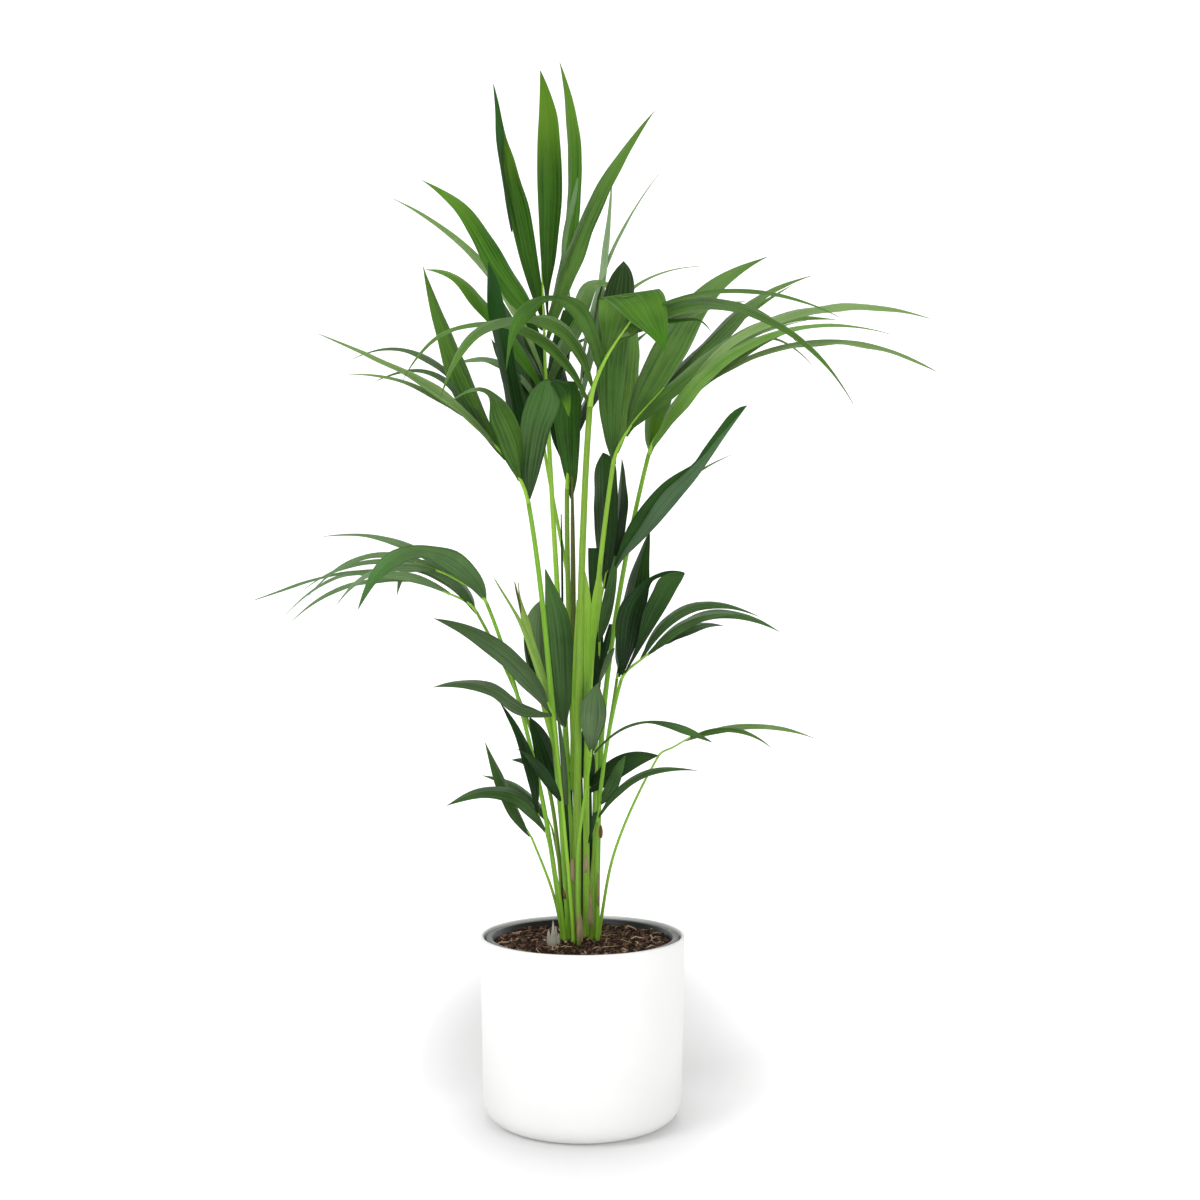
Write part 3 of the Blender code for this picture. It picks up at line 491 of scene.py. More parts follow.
def stalk_finish(name, low, middle, high, groove):
    """Living stalk: pale and yellowish at the foot, greener above, with fine ribs along it."""
    f = Finish(name, 0.42, 0.2)
    where = f.node("ShaderNodeTexCoord")
    parts = f.node("ShaderNodeSeparateXYZ")
    f.link(where.outputs["Object"], parts.inputs[0])
    share = f.math("MULTIPLY_ADD", parts.outputs[2], 1 / 0.9, -0.22 / 0.9)
    cloud = f.node("ShaderNodeTexNoise", Scale=14.0, Detail=4.0, Roughness=0.6)
    f.link(where.outputs["Object"], cloud.inputs["Vector"])
    share = f.math("ADD", share, f.math("MULTIPLY_ADD", cloud.outputs["Fac"], 0.3, -0.15))
    base = f.ramp(share, [(0.0, low), (0.3, middle), (1.0, high)])
    uv = f.node("ShaderNodeUVMap", uv_map="blade")
    split = f.node("ShaderNodeSeparateXYZ")
    f.link(uv.outputs["UV"], split.inputs[0])
    ribs = f.math("SINE", f.math("MULTIPLY", split.outputs[0], 2 * math.pi * 26))
    ribs = f.math("MULTIPLY_ADD", ribs, 0.5, 0.5)
    streak = f.node("ShaderNodeTexNoise", Scale=1.0, Detail=5.0, Roughness=0.65)
    stretch = f.node("ShaderNodeMapping")
    stretch.inputs["Scale"].default_value = (26.0, 9.0, 1.0)
    f.link(uv.outputs["UV"], stretch.inputs["Vector"])
    f.link(stretch.outputs["Vector"], streak.inputs["Vector"])
    dark = f.ramp(streak.outputs["Fac"], [(0.42, (0, 0, 0)), (0.72, (1, 1, 1))])
    base = f.mix(f.math("MULTIPLY", dark, 0.55), base, groove)
    base = f.mix(f.math("MULTIPLY", ribs, 0.14), base, groove)
    f.colour(base)
    f.rough(f.math("MULTIPLY_ADD", streak.outputs["Fac"], 0.25, 0.3))
    f.bump(f.math("ADD", ribs, streak.outputs["Fac"]), 0.00018, 0.7)
    return f.made


def dry_finish(name, dark, light):
    """Dead sheath and fibre: streaked, matt."""
    f = Finish(name, 0.8, 0.25)
    where = f.node("ShaderNodeTexCoord")
    stretch = f.node("ShaderNodeMapping")
    stretch.inputs["Scale"].default_value = (900.0, 900.0, 60.0)
    f.link(where.outputs["Object"], stretch.inputs["Vector"])
    streak = f.node("ShaderNodeTexNoise", Scale=1.0, Detail=4.0, Roughness=0.7)
    f.link(stretch.outputs["Vector"], streak.inputs["Vector"])
    f.colour(f.ramp(streak.outputs["Fac"], [(0.3, dark), (0.7, light)]))
    f.bump(streak.outputs["Fac"], 0.0003, 0.8)
    return f.made


def planter_finish():
    f = Finish("planter_white", 0.5, 0.4)
    where = f.node("ShaderNodeTexCoord")
    cloud = f.node("ShaderNodeTexNoise", Scale=9.0, Detail=3.0, Roughness=0.5)
    f.link(where.outputs["Object"], cloud.inputs["Vector"])
    f.colour(f.ramp(cloud.outputs["Fac"], [(0.3, srgb(232, 232, 231)), (0.7, srgb(236, 236, 235))]))
    grain = f.node("ShaderNodeTexNoise", Scale=900.0, Detail=2.0, Roughness=0.5)
    f.link(where.outputs["Object"], grain.inputs["Vector"])
    f.rough(f.math("MULTIPLY_ADD", grain.outputs["Fac"], 0.12, 0.42))
    f.bump(grain.outputs["Fac"], 0.00005, 0.5)
    return f.made


def nursery_finish():
    f = Finish("nursery_black", 0.38, 0.5)
    where = f.node("ShaderNodeTexCoord")
    cloud = f.node("ShaderNodeTexNoise", Scale=70.0, Detail=4.0, Roughness=0.6)
    f.link(where.outputs["Object"], cloud.inputs["Vector"])
    f.colour(f.ramp(cloud.outputs["Fac"], [(0.35, srgb(12, 13, 16)), (0.75, srgb(34, 36, 42))]))
    f.rough(f.math("MULTIPLY_ADD", cloud.outputs["Fac"], 0.35, 0.22))
    f.bump(cloud.outputs["Fac"], 0.0003, 0.5)
    return f.made


def soil_finish(name, dark, light, scale):
    f = Finish(name, 0.92, 0.2)
    where = f.node("ShaderNodeTexCoord")
    cloud = f.node("ShaderNodeTexNoise", Scale=scale, Detail=5.0, Roughness=0.7)
    f.link(where.outputs["Object"], cloud.inputs["Vector"])
    f.colour(f.ramp(cloud.outputs["Fac"], [(0.3, dark), (0.55, tuple((a + b) / 2 for a, b in zip(dark, light))), (0.8, light)]))
    f.bump(cloud.outputs["Fac"], 0.0012, 0.9)
    return f.made


# ------------------------------------------------------------------- meshes

class Pile:
    """Gathers faces for one joined piece."""

    def __init__(self):
        self.points, self.faces, self.slots, self.uvs = [], [], [], []

    def grid(self, rows, slot, uvs=None, loop=False, flip=False):
        """Rows of points joined into quads. rows are lists of the same length."""
        start = len(self.points)
        wide = len(rows[0])
        for row in rows:
            self.points.extend(row)
        for i in range(len(rows) - 1):
            for j in range(wide if loop else wide - 1):
                k = (j + 1) % wide
                a, b = start + i * wide + j, start + i * wide + k
                c, d = b + wide, a + wide
                quad = [a, b, c, d]
                if uvs:
                    u0, u1 = uvs[0][j], uvs[0][j + 1]
                    v0, v1 = uvs[1][i], uvs[1][i + 1]
                    marks = [(u0, v0), (u1, v0), (u1, v1), (u0, v1)]
                else:
                    marks = [(0, 0)] * 4
                if flip:
                    quad, marks = quad[::-1], marks[::-1]
                self.faces.append(quad)
                self.uvs.extend(marks)
                self.slots.append(slot)
        return start

    def face(self, corners, slot, marks=None):
        self.faces.append(list(corners))
        self.uvs.extend(marks or [(0, 0)] * len(corners))
        self.slots.append(slot)

    def make(self, name, finishes, *nodes):
        mesh = bpy.data.meshes.new(name)
        mesh.from_pydata([tuple(p) for p in self.points], [], self.faces)
        layer = mesh.uv_layers.new(name="blade")
        layer.data.foreach_set("uv", [v for mark in self.uvs for v in mark])
        mesh.polygons.foreach_set("material_index", self.slots)
        mesh.polygons.foreach_set("use_smooth", [True] * len(mesh.polygons))
        for finish in finishes:
            mesh.materials.append(finish)
        mesh.update()
        obj = bpy.data.objects.new(name, mesh)
        bpy.context.scene.collection.objects.link(obj)
        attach(obj, "root")
        if nodes:
            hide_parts(*nodes)
        return obj


def frames(line):
    """For each point of a line: the way along it and two steady directions across it."""
    ways = []
    for i in range(len(line)):
        ways.append((line[min(i + 1, len(line) - 1)] - line[max(i - 1, 0)]).normalized())
    side = ways[0].cross(Vector((0, 1, 0)))
    if side.length < 0.1:
        side = ways[0].cross(Vector((1, 0, 0)))
    side.normalize()
    out = []
    for way in ways:
        side = (side - way * side.dot(way)).normalized()
        out.append((way, side, side.cross(way).normalized()))
    return out


def ribbed_tube(pile, line, radii, slot, seed, sides=16, groove=0.0, flat=0.0, lumps=0.04, closed=True):
    """A tube along a line, not quite round: ribs, a groove down its front and slow lumps."""
    rows, long = [], [0.0]
    for i in range(1, len(line)):
        long.append(long[-1] + (line[i] - line[i - 1]).length)
    for i, (place, (way, side, front)) in enumerate(zip(line, frames(line))):
        row = []
        for k in range(sides):
            a = 2 * math.pi * k / sides
            r = radii[i] if not callable(radii) else radii(i)
            r *= 1 + 0.035 * math.sin(5 * a + seed) + 0.02 * math.sin(9 * a + 2 * seed)
            r *= 1 + lumps * noise.noise(Vector((seed * 3.1, long[i] * 28, math.cos(a) * 0.7)))
            dent = groove * max(0.0, math.cos(a - math.pi / 2)) ** 6
            x, y = math.cos(a) * r, math.sin(a) * r * (1 - flat) * (1 - dent)
            row.append(place + side * x + front * y)
        rows.append(row)
    marks = [k / sides for k in range(sides + 1)], [v * 4 for v in long]
    start = pile.grid(rows, slot, marks, loop=True)
    if closed:
        pile.face([start + k for k in range(sides)][::-1], slot)
        last = start + (len(rows) - 1) * sides
        pile.face([last + k for k in range(sides)], slot)
    return rows


def ease(u):
    u = min(max(u, 0.0), 1.0)
    return u * u * (3 - 2 * u)


def leaflet_mesh(pile, rib, leaflet, slot, under, seed, shape=None):
    """One leaflet: a thin closed blade, folded along its midrib, with raised veins and slow waves."""
    shape = shape or {}
    wide = shape.get("wide", leaflet[4])
    count, across_count = 34, 14
    stations = leaflet_line(rib, leaflet, count)
    side = -1 if leaflet[2][0] + leaflet[1][-1][0] < 0 else 1
    length = sum((stations[i + 1][0] - stations[i][0]).length for i in range(count))
    rng = random.Random(seed)
    fold0 = math.radians(shape.get("fold", rng.uniform(13, 24)))
    lean = shape.get("lean", rng.uniform(-0.12, 0.12))
    wave = rng.uniform(0, 40)
    sway = rng.uniform(0.7, 1.3)
    swings = shape.get("swing", [(0, 0)])
    swell = shape.get("swell", 0.36)
    point = shape.get("point", 2.1 if wide > 2.9 else 1.8)
    thick = 0.00028
    tops, unders = [], []
    for i, (place, way, across) in enumerate(stations):
        u = i / count
        half = wide * CM * blade_width(u, swell, point) / 2
        swing = math.radians(4 * sway * noise.noise(Vector((wave, u * 3.1, 0.0))) * ease(u * 3) + between(swings, u))
        across = (Matrix.Rotation(swing, 3, way) @ across).normalized()
        normal = (across.cross(way) * side).normalized()
        fold = fold0 * (1.0 - 0.55 * ease((u - 0.25) / 0.6)) + math.radians(shape.get("gather", 34)) * (1 - ease(u / 0.14))
        top, low = [], []
        for j in range(across_count + 1):
            s = -1 + 2 * j / across_count
            # the midrib lies a little to one side of the middle
            t = abs(s)
            reach = half * (1 + (lean if s > 0 else -lean) * 0.5)
            out = reach * t * math.cos(fold * (0.75 + 0.25 * t))
            down = reach * t * math.sin(fold * (0.75 + 0.25 * t))
            ripple = half * 0.16 * t * t * noise.noise(Vector((wave + 9 + (5 if s > 0 else 0), u * length * 26, 0.3)))
            vein = 0.00030 * min(1.0, half / 0.010) * (0.5 + 0.5 * math.cos(2 * math.pi * t * 3)) * (1 - 0.5 * t)
            rib_up = 0.0006 * math.exp(-(t * half / 0.0012) ** 2) * (1 - 0.8 * u)
            spot = place + across * (out if s > 0 else -out) + normal * (ripple - down + vein + rib_up)
            inner = 1.0 - t ** 6
            top.append(spot + normal * thick * inner)
            low.append(spot - normal * thick * inner)
        tops.append(top)
        unders.append(low)
    us = [j / across_count for j in range(across_count + 1)]
    vs = [i / count for i in range(count + 1)]
    flip = (unders[1][1] - tops[1][1]).dot(
        (tops[1][1] - tops[1][0]).cross(tops[2][0] - tops[1][0])) > 0
    pile.grid(tops, slot, (us, vs), flip=flip)
    pile.grid(unders, under, (us, vs), flip=not flip)
    weld_sides(pile, tops, unders, count, across_count, slot, flip)


def weld_sides(pile, tops, unders, count, across_count, slot, flip):
    wide = across_count + 1
    size = (count + 1) * wide
    low0 = len(pile.points) - size
    top0 = low0 - size
    def strip(ids_a, ids_b, turn):
        for k in range(len(ids_a) - 1):
            quad = [ids_a[k], ids_a[k + 1], ids_b[k + 1], ids_b[k]]
            pile.face(quad if turn else quad[::-1], slot)
    left_t = [top0 + i * wide for i in range(count + 1)]
    left_u = [low0 + i * wide for i in range(count + 1)]
    strip(left_t, left_u, not flip)
    right_t = [top0 + i * wide + across_count for i in range(count + 1)]
    right_u = [low0 + i * wide + across_count for i in range(count + 1)]
    strip(right_t, right_u, flip)
    base_t = [top0 + j for j in range(wide)]
    base_u = [low0 + j for j in range(wide)]
    strip(base_t, base_u, flip)
    end_t = [top0 + count * wide + j for j in range(wide)]
    end_u = [low0 + count * wide + j for j in range(wide)]
    strip(end_t, end_u, not flip)


def blade_width(u, swell, point):
    """Share of the full width: a short narrow neck, a fast swell, then a long fine point."""
    rise = 0.16 + 0.84 * math.sin(min(u / swell, 1.0) * math.pi / 2) ** 1.1
    fall = 1.0 if u < swell else max(1 - ((u - swell) / (1 - swell)) ** point, 0.0)
    return max(rise * fall, 0.012)


def between(stops, u):
    """A value that eases from one (place, value) stop to the next."""
    for (a, low), (b, high) in zip(stops, stops[1:]):
        if u <= b:
            return low + (high - low) * ease((u - a) / (b - a))
    return stops[-1][1]


# ------------------------------------------------------------------- fronds

# each: deep, light, vein and tip colours, then roughness and gloss; the tip colour is painted light where it is lighter
# than the blade
LEAVES = {
    "ink": ((10, 30, 10), (26, 52, 20), (52, 84, 40), (30, 60, 22), 0.34, 0.10),
    "forest": ((24, 56, 10), (46, 86, 18), (80, 118, 42), (88, 128, 30), 0.40, 0.07),
    "dusky": ((44, 76, 28), (66, 102, 42), (92, 126, 62), (12, 36, 10), 0.42, 0.08),
    "grass": ((40, 84, 16), (68, 116, 30), (100, 144, 56), (88, 130, 36), 0.40, 0.08),
    "flap": ((46, 84, 20), (68, 108, 32), (96, 138, 58), (54, 108, 10), 0.40, 0.08),
    "fresh": ((54, 86, 42), (82, 116, 62), (116, 146, 96), (58, 116, 36), 0.36, 0.14),
    "leek": ((14, 44, 10), (34, 70, 20), (76, 112, 44), (92, 138, 30), 0.38, 0.10),
    "teal": ((6, 34, 4), (16, 50, 10), (38, 74, 22), (36, 74, 30), 0.44, 0.06),
    "lime": ((74, 126, 22), (100, 152, 34), (132, 176, 62), (90, 146, 26), 0.42, 0.10),
    "reed": ((112, 152, 58), (146, 182, 88), (174, 204, 120), (126, 154, 66), 0.42, 0.12),
    "sheath": ((98, 146, 34), (126, 174, 50), (156, 198, 84), (138, 178, 62), 0.40, 0.12),
    "moss": ((44, 78, 24), (70, 106, 38), (100, 134, 64), (82, 122, 42), 0.42, 0.09),
    "sage": ((84, 116, 58), (116, 146, 84), (148, 172, 114), (106, 142, 70), 0.46, 0.10),
    "slate": ((32, 60, 26), (58, 88, 42), (92, 120, 70), (60, 98, 42), 0.38, 0.12),
    "dusk": ((52, 76, 42), (74, 98, 60), (108, 132, 92), (62, 90, 46), 0.34, 0.16),
    "fog": ((68, 92, 56), (92, 116, 78), (124, 146, 108), (94, 122, 74), 0.40, 0.14),
    "pond": ((24, 58, 14), (48, 88, 28), (84, 120, 52), (36, 76, 18), 0.40, 0.08),
    "clear": ((76, 116, 42), (104, 144, 62), (132, 166, 90), (92, 134, 52), 0.42, 0.08),
    "haze": ((100, 132, 84), (136, 164, 118), (160, 184, 146), (116, 148, 96), 0.44, 0.10),
    "mist": ((74, 104, 58), (100, 130, 80), (130, 156, 112), (96, 130, 82), 0.44, 0.10),
    "night": ((16, 46, 12), (38, 74, 26), (70, 106, 50), (36, 82, 22), 0.34, 0.12),
    "sheen": ((34, 62, 34), (60, 90, 54), (98, 128, 92), (54, 98, 46), 0.34, 0.20),
    "vine": ((42, 74, 24), (66, 100, 38), (94, 130, 62), (66, 116, 22), 0.42, 0.08),
    "jade": ((36, 68, 26), (62, 94, 46), (94, 126, 76), (62, 98, 44), 0.38, 0.12),
    "pine": ((12, 34, 10), (28, 56, 20), (62, 92, 46), (44, 76, 28), 0.36, 0.10),
    "shade": ((16, 38, 10), (32, 62, 20), (54, 86, 36), (40, 74, 24), 0.55, 0.04),
    "bark": ((58, 74, 28), (92, 104, 48), (126, 132, 82), (84, 86, 48), 0.60, 0.06),
    "straw": ((112, 92, 66), (160, 140, 108), (192, 176, 148), (146, 124, 92), 0.70, 0.05),
    "russet": ((84, 54, 32), (128, 92, 62), (160, 126, 94), (104, 70, 42), 0.75, 0.04),
    "husk": ((128, 122, 106), (180, 176, 160), (216, 212, 200), (196, 192, 178), 0.36, 0.30),
}
ORDER = list(LEAVES)
UNDER = "under"


def leaf_materials():
    made = {}
    for name, (deep, light, vein, tip, roughness, gloss) in LEAVES.items():
        made[name] = leaf_finish("leaf_" + name, srgb(*deep), srgb(*light), srgb(*vein), srgb(*tip), roughness, gloss)
    made[UNDER] = leaf_finish("leaf_underside", srgb(64, 92, 38), srgb(86, 116, 56), srgb(110, 140, 80), srgb(88, 118, 52), 0.6, 0.06)
    return made


TINTS = {
    "top": "grass sage grass forest forest grass moss moss pine",
    "left": "slate teal moss moss sage slate slate sage",
    "front": "moss moss grass moss moss sage grass moss moss",
    "right_back": "dusky clear moss moss moss sage forest",
    # right: the first leaflet's lime tint is painted light on a leaflet that faces away from the lamps
    "right": "lime clear sage sage sage sage",
    "back_mid": "pond ink pine haze haze sage",
    "back_left": "shade shade shade moss shade shade",
    "left_mid_upper": "fresh mist mist mist mist",
    "left_mid_lower": "slate mist mist mist",
    "left_pair": "dusk dusk",
    "centre": "fog dusk",
    "spear": "lime lime",
    "big_right": "slate pine pine sage",
    "right_mid": "pine pine slate slate slate slate",
    "right_mid_back": "pine pine",
    "low_dark": "pine ink pine",
    "low_left_a": "slate ink",
    "low_left_b": "slate",
    "low_left_c": "slate",
    "low_centre": "fog slate",
    "low_right": "slate slate",
    "low_thin": "sage moss",
    "low_mid": "pine ink",
}

# Leaflets that differ from the rest: fuller, more pointed, flatter or turned along the way.
# swell: where it is widest. point: how late it narrows. swing: (place, degrees) turned further.
SHAPES = {
    ("front", 0): dict(swing=[(0, 0), (0.35, 0), (0.55, 18), (0.8, 4)], point=1.5),
    ("front", 1): dict(swing=[(0, 0), (0.32, 0), (0.46, 16), (0.62, 0)], point=1.7),
    ("front", 2): dict(swing=[(0, 0), (0.36, 0), (0.50, 30), (0.66, 4)], point=1.9),
    ("front", 4): dict(swell=0.24, point=1.15),
    ("front", 7): dict(swell=0.6),
    ("front", 8): dict(swell=0.3, point=1.4),
    ("top", 0): dict(point=3.0),
    ("top", 2): dict(swell=0.28, fold=22, point=2.0),
    ("top", 3): dict(fold=30, point=1.7, swell=0.24),
    ("top", 4): dict(fold=9, point=2.4, swell=0.42),
    ("top", 5): dict(fold=26, point=2.6, swell=0.45),
    ("top", 6): dict(fold=24, point=1.9),
    ("top", 7): dict(swell=0.5, point=3.0),
    ("left", 1): dict(swell=0.3, point=7.0, fold=14),
    ("left", 2): dict(swell=0.34, point=1.7, swing=[(0, 0), (0.45, 0), (0.68, 26), (1, 26)]),
    ("left", 3): dict(swell=0.4, point=1.5, fold=26),
    ("right_back", 0): dict(swell=0.6, point=6.0, fold=10),
    ("right_back", 2): dict(swell=0.42, point=1.2, fold=20),
    ("right_back", 3): dict(swell=0.5, point=1.4),
    ("right_back", 4): dict(swell=0.34, point=1.7),
    # painted light: this leaflet faces away from the lamps, and its underside also gets the bright lime tint so that it
    # reads lit
    ("right", 0): dict(under="lime"),
    ("right", 1): dict(swell=0.26, point=1.0),
    ("right", 2): dict(swell=0.5, point=2.4),
    ("right", 3): dict(swell=0.68, point=2.4),
    ("big_right", 1): dict(swell=0.5, point=8.0),
    ("right_mid", 2): dict(wide=2.3, point=1.7),
    ("right_mid", 4): dict(wide=2.5, point=1.7),
    ("centre", 0): dict(swell=0.6, point=4.0),
    ("centre", 1): dict(fold=10, point=2.0, swell=0.47),
    ("left_pair", 1): dict(wide=3.1),
    ("left_mid_upper", 1): dict(wide=2.0, point=1.5),
    ("left_mid_upper", 2): dict(wide=2.2, point=1.5),
    ("left_mid_upper", 4): dict(wide=1.8, point=1.5),
    ("left_mid_lower", 1): dict(wide=2.2, point=1.5),
    ("left_mid_lower", 2): dict(wide=2.0, point=1.5),
}


